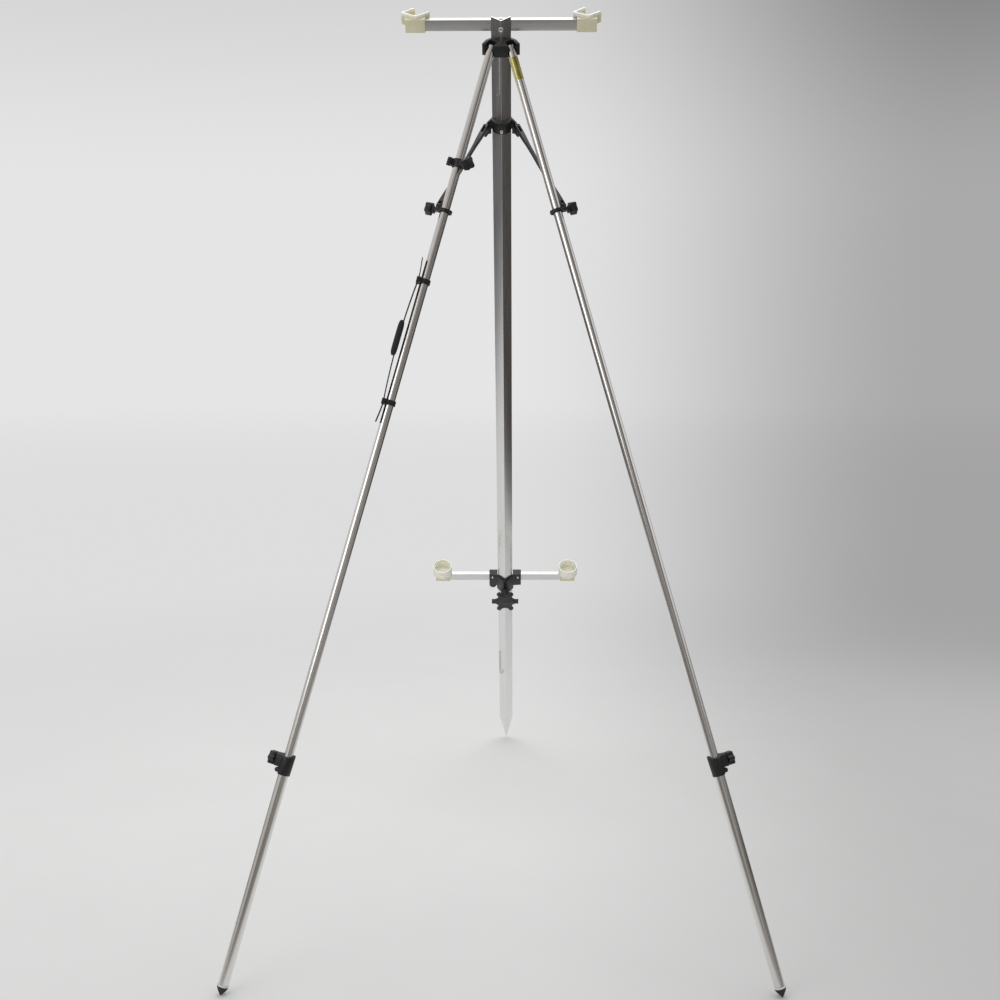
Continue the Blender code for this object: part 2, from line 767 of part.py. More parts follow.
def build_hooks():
    """Two wire hooks for a bait bag: one in the collar's underside, one through the left flange."""
    low = COLLAR_TOP + COLLAR_HEIGHT
    place = (-0.003, -0.0070, -low)
    upper = wire(hook_end((0, 0, HOOK_ROOT), HOOK_SWING_UPPER), WIRE_RADIUS)
    new_object("bag_hook_upper", upper, POST, "steel", place)
    socket_hole = rod(WIRE_RADIUS + PIN_GAP, -HOOK_ROOT, HOOK_ROOT + PIN_GAP)
    cut(bpy.data.objects["top_collar"], socket_hole, POST, place)
    front = by_flange(LOWER_HOOK_ALONG, 0.0024, -1)
    behind = by_flange(LOWER_HOOK_ALONG, -FLANGE_THICKNESS - 0.0030, -1)
    bend = by_flange(LOWER_HOOK_ALONG, 0.0010, -1)
    top = -LOWER_HOOK_TOP
    path = [(*behind, top), (*bend, top)] + hook_end((*front, top - 0.0014), HOOK_SWING_LOWER)
    new_object("bag_hook_lower", wire(path, WIRE_RADIUS), POST, "steel")
    turn = (math.pi / 2, 0, -math.pi / 4)
    cut(bpy.data.objects["mast_angle"], rod(WIRE_RADIUS + PIN_GAP, -0.01, 0.01), POST, (*bend, top), turn)


# The upper crossbar, its saddle and its rod rests
def build_saddle():
    """A block that fills the angle's hollow and gives the bar a flat seat behind the flanges."""
    inner = -FLANGE_THICKNESS - GAP
    edge = FLANGE_WIDTH + GAP
    half = [
        (0, by_flange(-inner, inner)[1]),
        by_flange(edge - 0.0004, inner),
        (FLANGE_REACH, POST_BACK + GAP),
        (FLANGE_REACH, BAR_FRONT - GAP),
        (0, BAR_FRONT - GAP),
    ]
    block = plate([mirrored_outline(half)], SADDLE_HEIGHT)
    saddle = new_object("crossbar_saddle", block, POST, "black", (0, 0, -UPPER_BAR_DOWN))
    cut(saddle, rod(BOLT_RADIUS + PIN_GAP, -0.005, 0.03), POST, (0, 0, -BOLT_DOWN), ALONG_BACK)


def bar_mesh(length):
    """A rectangular tube along X, open at both ends."""
    outer = filleted(rectangle(BAR_DEPTH, BAR_HEIGHT), 0.0008, 2)
    inner = rectangle(BAR_DEPTH - 2 * BAR_WALL, BAR_HEIGHT - 2 * BAR_WALL)
    return upright(plate([outer, inner], length), FACE_X)


def rectangle(width, height):
    x = width / 2
    y = height / 2
    return [(-x, -y), (x, -y), (x, y), (-x, y)]


def build_upper_bar():
    bar = new_object("upper_crossbar", bar_mesh(UPPER_BAR_LENGTH), UPPER_BAR, "anodised")
    cut(bar, rod(BOLT_RADIUS + PIN_GAP, -0.02, 0.02), SWIVEL, (0, 0, 0), ALONG_BACK)
    head = BOLT_HEAD_HEIGHT
    seat = -0.0036
    end = BAR_FRONT + BAR_DEPTH + 0.0125
    profile = [
        (0, head),
        (BOLT_HEAD_RADIUS * 0.8, head * 0.8),
        (BOLT_HEAD_RADIUS, 0.0003),
        (BOLT_HEAD_RADIUS, 0),
        (BOLT_RADIUS, 0),
        (BOLT_RADIUS, seat - end),
        (0, seat - end),
    ]
    turned("crossbar_bolt", profile, POST, "steel", (0, seat, -BOLT_DOWN), ALONG_FRONT, SMALL_STEPS)
    build_wing_nut()


def build_wing_nut():
    """A wing nut on the bolt, close behind the bar."""
    seat = BAR_FRONT + BAR_DEPTH + GAP
    half = WING_SPAN / 2
    wing = [(0.0040, 0.0022), (half - 0.004, 0.0095), (half, 0.0085), (half - 0.0005, 0.0052), (0.0052, 0.0004)]
    outline = filleted(wing + [(-x, y) for x, y in reversed(wing)], 0.0008, 2)
    frame = new_frame("wing_nut_turn", POST, (0, seat, -BOLT_DOWN))
    nut = new_object("crossbar_wing_nut", plate([outline], WING_THICKNESS), frame, "steel")
    joined(nut, rod(0.0044, 0, 0.0065), frame, (0, 0, 0), ALONG_BACK)
    cut(nut, rod(BOLT_RADIUS + 0.0001, -0.01, 0.02), frame, (0, 0, 0), ALONG_BACK)


def socket(name, frame, side, half_length, kind):
    """A cap on the bar's end: a box with a blind rectangular bore."""
    outer = filleted(rectangle(2 * SOCKET_HALF_DEPTH, 2 * SOCKET_HALF_HEIGHT), 0.0018, 2)
    mesh = upright(plate([outer], SOCKET_LENGTH), FACE_X)
    inside = half_length - SOCKET_DEPTH
    middle = inside + SOCKET_LENGTH / 2
    thing = new_object(name, mesh, frame, kind, (side * middle, 0, 0))
    return thing, inside


def bore_socket(thing, frame, side, half_length):
    """The bar's room in the socket, with a little air past the bar's end."""
    size = (SOCKET_DEPTH + 0.01 + GAP, BAR_DEPTH + 2 * SLIDE_GAP, BAR_HEIGHT + 2 * SLIDE_GAP)
    end = half_length + GAP
    return cut(thing, box(size, (side * (end - size[0] / 2), 0, 0)), frame)


def fork_outline():
    """A U in plan from its front corner: a web to the left, and two arms slanting to the back and right."""
    web = Vector((-math.cos(FORK_WEB_TURN), math.sin(FORK_WEB_TURN)))
    arm = Vector((math.sin(FORK_ARM_TURN), math.cos(FORK_ARM_TURN)))
    wall = FORK_WALL / abs(web.cross(arm))
    far = FORK_WEB - wall
    inside = [(wall, FORK_ARM), (wall, wall), (far, wall), (far, FORK_ARM)]
    corners = [(0, 0), (0, FORK_ARM)] + inside + [(FORK_WEB, FORK_ARM), (FORK_WEB, 0)]
    return filleted([tuple(web * a + arm * b) for a, b in corners], FORK_CORNER, 4)


def build_rod_rests():
    """Each rest is a socket with a U for the rod, turned so that it opens to the back and right."""
    for name, side in SIDES.items():
        rest, inside = socket(f"rod_rest_{name}", UPPER_BAR, side, UPPER_BAR_LENGTH / 2, "cream")
        middle = side * (inside + SOCKET_LENGTH / 2)
        top = BAR_HEIGHT / 2 + FORK_RISE
        lift = top - FORK_HEIGHT / 2
        fork = plate([fork_outline()], FORK_HEIGHT)
        joined(rest, fork, UPPER_BAR, (middle + FORK_OFFSET, -SOCKET_HALF_DEPTH, lift))
        bore_socket(rest, UPPER_BAR, side, UPPER_BAR_LENGTH / 2)


def build_pin(name, frame, side, reach, radius, length):
    """A rivet along the frame's X, with a low round head on its outboard end."""
    head = radius * PIN_HEAD
    profile = [(0, 0.65 * radius), (0.9 * head, 0.5 * radius), (head, 0)]
    profile += [(radius, 0), (radius, -length), (0, -length)]
    turned(name, profile, frame, "steel", (side * reach, 0, 0), (0, side * math.pi / 2, 0), SMALL_STEPS)


# The legs
def build_leg(name, side):
    frame = LEGS[name]
    inner = UPPER_TUBE_RADIUS - UPPER_TUBE_WALL
    tube = turned(
        f"upper_leg_{name}",
        tube_profile(UPPER_TUBE_RADIUS, inner, UPPER_TUBE_TOP, -UPPER_TUBE_LENGTH),
        frame,
        "aluminium",
        closed=True,
    )
    hole = LEG_PIN_RADIUS + PIN_GAP
    cut(tube, rod(hole, -0.012, 0.012), frame, (0, 0, 0), ALONG_X)
    plug_radius = inner - GAP
    plug = [(0, UPPER_TUBE_TOP + 0.0016)]
    plug += [(UPPER_TUBE_RADIUS * 0.9, UPPER_TUBE_TOP + 0.0010), (UPPER_TUBE_RADIUS, UPPER_TUBE_TOP + GAP)]
    plug += [(plug_radius, UPPER_TUBE_TOP + GAP), (plug_radius, -0.016), (0, -0.016)]
    top = turned(f"leg_top_plug_{name}", plug, frame, "black", steps=TUBE_STEPS)
    cut(top, rod(hole, -0.012, 0.012), frame, (0, 0, 0), ALONG_X)
    cheek = LEG_SLOT + COLLAR_CHEEK
    build_pin(f"leg_pin_{name}", COLLAR_PIN[name], side, cheek + GAP, LEG_PIN_RADIUS, cheek + LEG_PIN_PAST)


def build_lower_leg(name, side):
    frame = new_frame(f"lower_leg_slide_{name}", LEGS[name], (0, 0, -LOWER_TUBE_START))
    length = LOWER_TUBE_END - LOWER_TUBE_START
    inner = LOWER_TUBE_RADIUS - LOWER_TUBE_WALL
    profile = tube_profile(LOWER_TUBE_RADIUS, inner, 0, -length)
    turned(f"lower_leg_{name}", profile, frame, "aluminium", closed=True)
    build_lock(name, side, frame)
    ring_top = -length
    ring = [
        (FOOT_RING_RADIUS, ring_top - GAP),
        (FOOT_RING_RADIUS, ring_top - FOOT_RING_HEIGHT),
        (inner - GAP, ring_top - FOOT_RING_HEIGHT),
        (inner - GAP, ring_top - GAP),
    ]
    turned(f"foot_ring_{name}", ring, frame, "pale", closed=True)
    cup_top = ring_top - FOOT_RING_HEIGHT - GAP
    tip = cup_top - FOOT_CUP_HEIGHT
    cone = [
        (0, cup_top + FOOT_PLUG_LENGTH),
        (inner - 3 * GAP, cup_top + FOOT_PLUG_LENGTH),
        (inner - 3 * GAP, cup_top),
        (FOOT_CUP_RADIUS, cup_top),
        (FOOT_CUP_RADIUS, cup_top - 0.002),
    ]
    centre = (0, tip + FOOT_TIP_RADIUS)
    cone += [(r, z) for r, z in reversed(arc(centre, FOOT_TIP_RADIUS, -math.pi / 2, 0.25, 5))]
    cone[-1] = (0, tip)
    turned(f"foot_tip_{name}", cone, frame, "rubber")


def build_lock(name, side, frame):
    """A clamp collar on the lower tube's mouth, with a boss for its knob on the leg's outer side."""
    top = LOWER_TUBE_START - LOCK_TOP
    low = top - LOCK_HEIGHT
    body = [(0, top), (LOCK_RADIUS, top), (LOCK_RADIUS - LOCK_TAPER, low), (0, low)]
    lock = turned(f"leg_lock_{name}", body, frame, "black")
    boss_size = (LOCK_BOSS_REACH, LOCK_BOSS_WIDTH, LOCK_BOSS_HEIGHT)
    boss = box(boss_size, (side * LOCK_BOSS_REACH / 2, 0, top - LOCK_BOSS_DOWN - LOCK_BOSS_HEIGHT / 2))
    joined(lock, boss, frame)
    bump = rod(0.0042, -0.0070, 0.0070)
    joined(lock, bump, frame, (side * (LOCK_RADIUS - 0.0005), 0, low + 0.0065), (math.pi / 2, 0, 0))
    scoop = box((0.1, 0.06, 0.04), (0, -0.03, 0.02))
    cut(lock, scoop, frame, (0, 0, top), (math.atan2(LOCK_SCOOP, LOCK_RADIUS), 0, 0))
    bore = [
        (0, top + 0.004),
        (UPPER_TUBE_RADIUS + SLIDE_GAP, top + 0.004),
        (UPPER_TUBE_RADIUS + SLIDE_GAP, GAP),
        (LOWER_TUBE_RADIUS + SLIDE_GAP, GAP),
        (LOWER_TUBE_RADIUS + SLIDE_GAP, low - 0.004),
        (0, low - 0.004),
    ]
    cutter = turned(f"cut_{len(CUTTERS.objects):03d}", bore, frame, None)
    combined(lock, cutter, "DIFFERENCE")
    screw_down = top - LOCK_BOSS_DOWN - LOCK_BOSS_HEIGHT / 2
    outward = (0, side * math.pi / 2, 0)
    cut(lock, rod(LOCK_SCREW_RADIUS + PIN_GAP, 0.005, 0.030), frame, (0, 0, screw_down), outward)
    place = (side * LOCK_BOSS_REACH, 0, screw_down)
    turn = new_frame(f"leg_lock_knob_turn_{name}", frame, place, outward)
    build_knob(
        f"leg_lock_knob_{name}",
        turn,
        lobed(LOCK_KNOB_RADIUS, 6, 0.0026, 6),
        LOCK_KNOB_THICKNESS,
        LOCK_SCREW_RADIUS,
        LOCK_BOSS_REACH - LOWER_TUBE_RADIUS - SLIDE_GAP,
    )


def build_knob(name, frame, outline, thickness, shaft_radius, shaft_length, neck=0.0016, kind="black"):
    """A knob on its frame's Z: a bevelled head over a neck, with its screw going the other way."""
    head = new_object(name, plate([outline], thickness), frame, kind, (0, 0, neck + thickness / 2))
    bevelled(head, 0.0016, 2)
    stem_radius = 0.0056
    stem = [
        (0, neck + thickness / 2),
        (stem_radius, neck + thickness / 2),
        (stem_radius, GAP),
        (shaft_radius, GAP),
        (shaft_radius, -shaft_length),
        (0, -shaft_length),
    ]
    screw = turned(f"cut_{len(CUTTERS.objects):03d}", stem, frame, None, steps=SMALL_STEPS)
    return combined(head, screw, "UNION")


# The struts and their clamps
def waist_outline(end_half, waist_half, straight, steps=10):
    """A long outline down Z from the hub pin to the clamp pin, full at its ends and slim between."""
    length = STRUT_LENGTH
    past = STRUT_END_RADIUS + 0.004
    half = [(0, past), (end_half, past), (end_half, -straight)]
    for i in range(1, steps):
        t = i / steps
        ease = 0.5 - 0.5 * math.cos(2 * math.pi * t)
        z = -straight - (length - 2 * straight) * t
        half.append((end_half + (waist_half - end_half) * min(1.0, 2.2 * ease), z))
    half += [(end_half, -length + straight), (end_half, -length - past), (0, -length - past)]
    return mirrored_outline(half)


def strut_side_outline(steps=8):
    """The strut from the side, with a round eye at each end."""
    radius = STRUT_END_RADIUS
    top = arc((0, 0), radius, 0, math.pi, steps)
    low = arc((0, -STRUT_LENGTH), radius, math.pi, 2 * math.pi, steps)
    waist = STRUT_SIDE_WAIST
    left = [(-waist, -STRUT_LENGTH * 0.25), (-waist, -STRUT_LENGTH * 0.75)]
    right = [(waist, -STRUT_LENGTH * 0.75), (waist, -STRUT_LENGTH * 0.25)]
    return top + left + low + right


def build_strut(name, side):
    frame = STRUTS[name]
    stand = Matrix.Rotation(math.pi / 2, 4, "Z") @ Matrix.Rotation(math.pi / 2, 4, "X")
    mesh = upright(plate([strut_side_outline()], 2 * FORK_HALF + 0.002), stand)
    strut = new_object(f"strut_{name}", mesh, frame, "black")
    waist = waist_outline(FORK_HALF, STRUT_WAIST, STRUT_STRAIGHT)
    front = upright(plate([waist], 0.03), Matrix.Rotation(math.pi / 2, 4, "X"))
    shape = new_object(f"cut_{len(CUTTERS.objects):03d}", front, frame, None)
    combined(strut, shape, "INTERSECT")
    slot = STRUT_EAR + 2 * GAP
    for middle, reach in ((0, STRUT_SLOT_UPPER), (-STRUT_LENGTH, STRUT_SLOT_LOWER)):
        high = max(middle - reach, middle + math.copysign(0.02, reach))
        low = min(middle - reach, middle + math.copysign(0.02, reach))
        cut(strut, box((slot, 0.03, high - low), (0, 0, (high + low) / 2)), frame)
        cut(strut, rod(STRUT_PIN_RADIUS + PIN_GAP, -0.012, 0.012), frame, (0, 0, middle), ALONG_X)
    reach = FORK_HALF + GAP
    build_pin(f"strut_pin_{name}", HUB_PIN[name], side, reach, STRUT_PIN_RADIUS, 2 * reach - GAP)


def build_clamp(name, side):
    """A ring round the leg under a lug that the strut's lower fork holds, and a boss for its knob."""
    frame = CLAMPS[name]
    inner = UPPER_TUBE_RADIUS + CLAMP_RING_PLAY
    outer = inner + CLAMP_RING_WALL
    top = -STRUT_END_RADIUS - 0.0006
    ring_middle = top - CLAMP_RING_HEIGHT / 2
    tab = CLAMP_BOSS_WIDTH / 2
    start = math.asin(tab / outer)
    ring = arc((-STRUT_OFFSET, 0), outer, start, 2 * math.pi - start, 28)
    tab_end = CLAMP_BOSS_REACH - STRUT_OFFSET
    outline = ring + [(tab_end, -tab), (tab_end, tab)]
    hole = arc((-STRUT_OFFSET, 0), inner, 0, 2 * math.pi * 27 / 28, 27)
    outline = [(side * x, y) for x, y in outline]
    hole = [(side * x, y) for x, y in hole]
    ring_plate = plate([outline, hole], CLAMP_RING_HEIGHT)
    clamp = new_object(f"strut_clamp_{name}", ring_plate, frame, "black", (0, 0, ring_middle))
    lug_low = top - CLAMP_RING_HEIGHT * 0.6
    lug_radius = STRUT_END_RADIUS
    lug = arc((0, 0), lug_radius, 0, math.pi, 8) + [(-lug_radius, lug_low), (lug_radius, lug_low)]
    stand = Matrix.Rotation(math.pi / 2, 4, "Z") @ Matrix.Rotation(math.pi / 2, 4, "X")
    joined(clamp, upright(plate([lug], STRUT_EAR), stand), frame)
    boss_start = FORK_HALF + 0.0023
    boss_size = (tab_end - boss_start, 2 * tab, CLAMP_BOSS_HEIGHT)
    boss_at = (side * (tab_end + boss_start) / 2, 0, ring_middle - CLAMP_RING_HEIGHT * 0.1)
    joined(clamp, box(boss_size, boss_at), frame)
    cut(clamp, rod(STRUT_PIN_RADIUS + PIN_GAP, -0.0055, 0.0055), frame, (0, 0, 0), ALONG_X)
    outward = (0, side * math.pi / 2, 0)
    cut(clamp, rod(CLAMP_SCREW_RADIUS + PIN_GAP, -0.003, 0.03), frame, (0, 0, ring_middle), outward)
    reach = FORK_HALF + GAP
    build_pin(f"clamp_pin_{name}", frame, side, reach, STRUT_PIN_RADIUS, 2 * reach - GAP)
    turn = new_frame(f"strut_clamp_knob_turn_{name}", frame, (side * tab_end, 0, ring_middle), outward)
    build_knob(
        f"strut_clamp_knob_{name}",
        turn,
        lobed(CLAMP_KNOB_RADIUS, 5, 0.0028, 6),
        CLAMP_KNOB_THICKNESS,
        CLAMP_SCREW_RADIUS,
        tab_end,
    )


# The accessory clamp and the strap, both on the left leg
def clip_outline():
    """An open ring for a thin pole, on a short neck out of the band."""
    centre = ACCESSORY_RADIUS + ACCESSORY_CLIP_RADIUS + 0.0015
    outer = ACCESSORY_CLIP_RADIUS + ACCESSORY_CLIP_WALL
    neck = 0.0042
    open_half = math.radians(50)
    start = math.asin(neck / outer)
    outline = [(UPPER_TUBE_RADIUS + 0.001, neck), (UPPER_TUBE_RADIUS + 0.001, -neck)]
    outline += arc((centre, 0), outer, math.pi + start, 2 * math.pi - open_half, 8)
    outline += arc((centre, 0), ACCESSORY_CLIP_RADIUS, 2 * math.pi - open_half, open_half, 16)
    outline += arc((centre, 0), outer, open_half, math.pi - start, 8)
    return outline


def build_accessory():
    """A band clamp that slides on the leg, with a pole clip on it and a knob."""
    frame = new_frame("accessory_slide", LEGS["left"], (0, 0, -ACCESSORY_AT))
    inner = UPPER_TUBE_RADIUS + SLIDE_GAP
    band = plate([arc((0, 0), ACCESSORY_RADIUS, 0, 2 * math.pi * 31 / 32, 31)], ACCESSORY_HEIGHT)
    clamp = new_object("accessory_clamp", band, frame, "black")
    clip = plate([clip_outline()], ACCESSORY_HEIGHT * 0.8)
    joined(clamp, clip, frame, (0, 0, 0), (0, 0, ACCESSORY_CLIP_TURN))
    knob_turn = Matrix.Rotation(-ACCESSORY_TURN, 4, "Z")
    boss = box(ACCESSORY_BOSS, (ACCESSORY_BOSS_REACH - ACCESSORY_BOSS[0] / 2, 0, 0))
    joined(clamp, upright(boss, knob_turn), frame)
    cut(clamp, rod(inner, -0.02, 0.02, TUBE_STEPS), frame)
    place = knob_turn @ Vector((ACCESSORY_BOSS_REACH, 0, 0))
    turn = new_frame("accessory_knob_turn", frame, place, (0, math.pi / 2, -ACCESSORY_TURN))
    cut(clamp, rod(ACCESSORY_SCREW_RADIUS + PIN_GAP, -0.014, 0.01), turn)
    build_knob(
        "accessory_knob",
        turn,
        lobed(ACCESSORY_KNOB_RADIUS, 4, 0.0034, 8),
        ACCESSORY_KNOB_THICKNESS,
        ACCESSORY_SCREW_RADIUS,
        ACCESSORY_BOSS_REACH - inner,
    )


def strap_offset(at):
    """How far the strap's middle lies from the leg's axis, at a distance down the leg."""
    if at <= BAND_UPPER:
        share = (BAND_UPPER - at) / (BAND_UPPER - STRAP_TOP)
        return STRAP_AT_BAND + (STRAP_TAIL - STRAP_AT_BAND) * share**1.5
    if at >= BAND_LOWER:
        share = (at - BAND_LOWER) / (STRAP_BOTTOM - BAND_LOWER)
        return STRAP_AT_BAND + (STRAP_TAIL - STRAP_AT_BAND) * share**1.5
    share = (at - BAND_UPPER) / (BAND_LOWER - BAND_UPPER)
    return STRAP_AT_BAND + (STRAP_BOW - STRAP_AT_BAND) * math.sin(math.pi * share) ** 0.8


def strap_mesh():
    """A flat strap along the leg: its edge outline, as wide as the webbing."""
    stations = sorted({STRAP_TOP, STRAP_BOTTOM} | {
        STRAP_TOP + (STRAP_BOTTOM - STRAP_TOP) * i / 36 for i in range(37)
    })
    near = [(strap_offset(at) - STRAP_THICKNESS / 2, -at) for at in stations]
    far = [(strap_offset(at) + STRAP_THICKNESS / 2, -at) for at in reversed(stations)]
    return upright(plate([near + far], STRAP_WIDTH), Matrix.Rotation(math.pi / 2, 4, "X"))


def build_strap():
    """Webbing held to the leg by two bands, with a grip in the middle."""
    frame = new_frame("strap_frame", LEGS["left"], (0, 0, 0), (0, 0, math.pi + STRAP_TURN))
    new_object("carry_strap", strap_mesh(), frame, "webbing")
    for name, at in (("upper", BAND_UPPER), ("lower", BAND_LOWER)):
        build_band(f"strap_band_{name}", frame, at)
    build_grip(frame)


def build_band(name, frame, at):
    """A moulded band with a bore for the leg and a slot for the strap."""
    inner = UPPER_TUBE_RADIUS + GAP
    ring = inner + BAND_WALL
    slot_near = STRAP_AT_BAND - STRAP_THICKNESS / 2 - GAP - 0.0001
    slot_far = STRAP_AT_BAND + STRAP_THICKNESS / 2 + GAP + 0.0003
    half_slot = STRAP_WIDTH / 2 + GAP
    edge = half_slot + 0.0016
    outline = arc((0, 0), ring, math.radians(70), math.radians(290), 18)
    outline += [(slot_near - 0.0010, -edge), (slot_far + 0.0008, -edge), (slot_far + 0.0016, -edge + 0.001)]
    outline += [(slot_far + 0.0016, edge - 0.001), (slot_far + 0.0008, edge), (slot_near - 0.0010, edge)]
    hole = arc((0, 0), inner, 0, 2 * math.pi * 31 / 32, 31)
    slot = [(slot_near, -half_slot), (slot_far, -half_slot), (slot_far, half_slot), (slot_near, half_slot)]
    new_object(name, plate([outline, hole, slot], BAND_HEIGHT), frame, "black", (0, 0, -at))


def build_grip(frame):
    """A padded grip that the strap runs through."""
    offset = strap_offset(SLIDER_AT)
    half = SLIDER_THICKNESS / 2
    centre = offset + half * 0.35
    outline = filleted(rectangle(SLIDER_THICKNESS, SLIDER_LENGTH), 0.005, 4)
    mesh = upright(plate([outline], STRAP_WIDTH + 0.005), Matrix.Rotation(math.pi / 2, 4, "X"))
    grip = new_object("strap_slider", mesh, frame, "black", (centre, 0, -SLIDER_AT))
    bevelled(grip, 0.0020, 2)
    steps = 12
    stations = [SLIDER_AT + (i / steps - 0.5) * (SLIDER_LENGTH + 0.01) for i in range(steps + 1)]
    room = STRAP_THICKNESS / 2 + GAP
    near = [(strap_offset(at) - room, -at) for at in stations]
    far = [(strap_offset(at) + room, -at) for at in reversed(stations)]
    tunnel = upright(plate([near + far], STRAP_WIDTH + 2 * GAP), Matrix.Rotation(math.pi / 2, 4, "X"))
    cut(grip, tunnel, frame)


# The lower bracket, its bar and its cups
def bracket_outline():
    """The bracket in plan: a sleeve on the angle that spreads into two square ears."""
    off = GAP + SLEEVE_WALL
    back = BAR_FRONT + BAR_DEPTH + GAP + 0.0030
    window = BAR_FRONT - GAP
    half = [
        (0, -BRACKET_FRONT),
        (0.0045, -BRACKET_FRONT + 0.0012),
        by_flange(FLANGE_WIDTH - 0.006, off + 0.001),
        (BRACKET_EAR_IN + 0.001, window - BRACKET_EAR_ROOT),
        (BRACKET_EAR_OUT, window - BRACKET_EAR_WALL),
        (BRACKET_EAR_OUT, back),
        (BRACKET_EAR_IN, back),
        (BRACKET_EAR_IN, window - 0.0005),
    ]
    return mirrored_outline(half + sleeve_inside(GAP)[2:])


def build_bracket():
    bracket = new_object("lower_bracket", plate([bracket_outline()], BRACKET_HEIGHT), BRACKET, "black")
    bevelled(bracket, 0.0008, 1)
    boss = rod(BRACKET_BOSS_RADIUS, 0.0, BRACKET_BOSS_REACH, 24)
    joined(bracket, boss, BRACKET, (0, 0, BOSS_LEVEL), ALONG_FRONT)
    ear_low = BRACKET_HEIGHT / 2 - BRACKET_EAR_HEIGHT
    for side in SIDES.values():
        below = (0.04, 0.1, BRACKET_HEIGHT)
        cut(bracket, box(below, (side * (FLANGE_REACH + 0.0225), 0, ear_low - BRACKET_HEIGHT / 2)), BRACKET)
    clear_of_post(bracket)
    bar_level = BRACKET_MIDDLE - LOWER_BAR_DOWN
    window = (0.2, BAR_DEPTH + 2 * SLIDE_GAP, BAR_HEIGHT + 2 * SLIDE_GAP)
    cut(bracket, box(window, (0, BAR_MIDDLE, bar_level)), BRACKET)
    cut(bracket, rod(STAR_SCREW_RADIUS + PIN_GAP, -0.004, 0.035), BRACKET, (0, 0, BOSS_LEVEL), ALONG_FRONT)
    thumb_across = -(BRACKET_EAR_IN + BRACKET_EAR_OUT) / 2 - 0.0015
    thumb_hole = rod(THUMB_SCREW_RADIUS + PIN_GAP, -0.03, -0.003)
    cut(bracket, thumb_hole, BRACKET, (thumb_across, BAR_MIDDLE, bar_level))
    build_star()
    build_thumb(thumb_across, bar_level)
    build_bar_screws(bar_level)


def clear_of_post(bracket):
    """Keeps the bracket's boss out of the angle."""
    half = [
        (0, by_flange(-GAP, GAP)[1]),
        by_flange(FLANGE_WIDTH + GAP, GAP),
        (FLANGE_REACH, POST_BACK + 0.02),
        (0, POST_BACK + 0.02),
    ]
    return cut(bracket, plate([mirrored_outline(half)], BRACKET_HEIGHT + 0.01), BRACKET)


def build_star():
    """The star knob ahead of the boss, and the pad that its screw presses on the angle's edge."""
    turn = new_frame("star_knob_turn", BRACKET, (0, -BRACKET_BOSS_REACH, BOSS_LEVEL), ALONG_FRONT)
    build_knob(
        "star_knob",
        turn,
        star(STAR_RADIUS, STAR_PRONGS, STAR_SCALLOP, 7),
        STAR_THICKNESS,
        STAR_SCREW_RADIUS,
        BRACKET_BOSS_REACH - PAD_FRONT - GAP,
        neck=0.0060,
    )
    length = PAD_FRONT - 4 * GAP
    pad = [(0, 0), (PAD_RADIUS, 0), (PAD_RADIUS, -length), (0, -length)]
    turned("pressure_pad", pad, BRACKET, "pale", (0, -PAD_FRONT, BOSS_LEVEL), ALONG_FRONT, SMALL_STEPS)


def build_thumb(across, bar_level):
    """A round thumb screw under the left ear, which locks the bar."""
    ear_low = BRACKET_HEIGHT / 2 - BRACKET_EAR_HEIGHT
    turn = new_frame("bar_thumb_knob_turn", BRACKET, (across, BAR_MIDDLE, ear_low), (math.pi, 0, 0))
    reach = bar_level - BAR_HEIGHT / 2 - GAP - ear_low
    outline = lobed(THUMB_RADIUS, 12, 0.0007, 4)
    build_knob("bar_thumb_knob", turn, outline, THUMB_HEIGHT, THUMB_SCREW_RADIUS, reach, neck=0.0012)


def build_bar_screws(bar_level):
    """A small screw head on the front of each ear."""
    share = BAR_SCREW_IN / (BRACKET_EAR_OUT - BRACKET_EAR_IN)
    wall = BRACKET_EAR_WALL + share * (BRACKET_EAR_ROOT - BRACKET_EAR_WALL)
    front = BAR_FRONT - 2 * GAP - wall
    for name, side in SIDES.items():
        profile = [(0, 0.0016), (0.0022, 0.0013), (0.0032, 0), (0, 0)]
        place = (side * (BRACKET_EAR_OUT - BAR_SCREW_IN), front - 0.0002, bar_level + 0.006)
        turned(f"bar_screw_{name}", profile, BRACKET, "steel", place, ALONG_FRONT, SMALL_STEPS)


def build_lower_bar():
    new_object("lower_crossbar", bar_mesh(LOWER_BAR_LENGTH), LOWER_BAR, "anodised")
    for name, side in SIDES.items():
        cup, inside = socket(f"butt_cup_{name}", LOWER_BAR, side, LOWER_BAR_LENGTH / 2, "cream")
        middle = side * (inside + SOCKET_LENGTH / 2)
        base = SOCKET_HALF_HEIGHT - 0.0012
        wall = rod(CUP_RADIUS, base, base + CUP_HEIGHT, TUBE_STEPS)
        joined(cup, wall, LOWER_BAR, (middle, 0, 0))
        hollow = rod(CUP_RADIUS - CUP_WALL, base + CUP_FLOOR, base + CUP_HEIGHT + 0.01, TUBE_STEPS)
        cut(cup, hollow, LOWER_BAR, (middle, 0, 0))
        bore_socket(cup, LOWER_BAR, side, LOWER_BAR_LENGTH / 2)


def finish():
    """Shades the round faces smooth, and stands the tripod on the ground with its middle at the origin."""
    bpy.context.view_layer.update()
    graph = bpy.context.evaluated_depsgraph_get()
    low = Vector((math.inf,) * 3)
    high = Vector((-math.inf,) * 3)
    for thing in PARTS.objects:
        if thing.type != "MESH":
            continue
        thing.data.shade_smooth()
        thing.data.set_sharp_from_angle(angle=math.radians(40))
        evaluated = thing.evaluated_get(graph)
        mesh = evaluated.to_mesh()
        for vertex in mesh.vertices:
            place = evaluated.matrix_world @ vertex.co
            low = Vector(map(min, low, place))
            high = Vector(map(max, high, place))
        evaluated.to_mesh_clear()
    ROOT.location = (-(low.x + high.x) / 2, -(low.y + high.y) / 2, -low.z)
    bpy.context.view_layer.update()


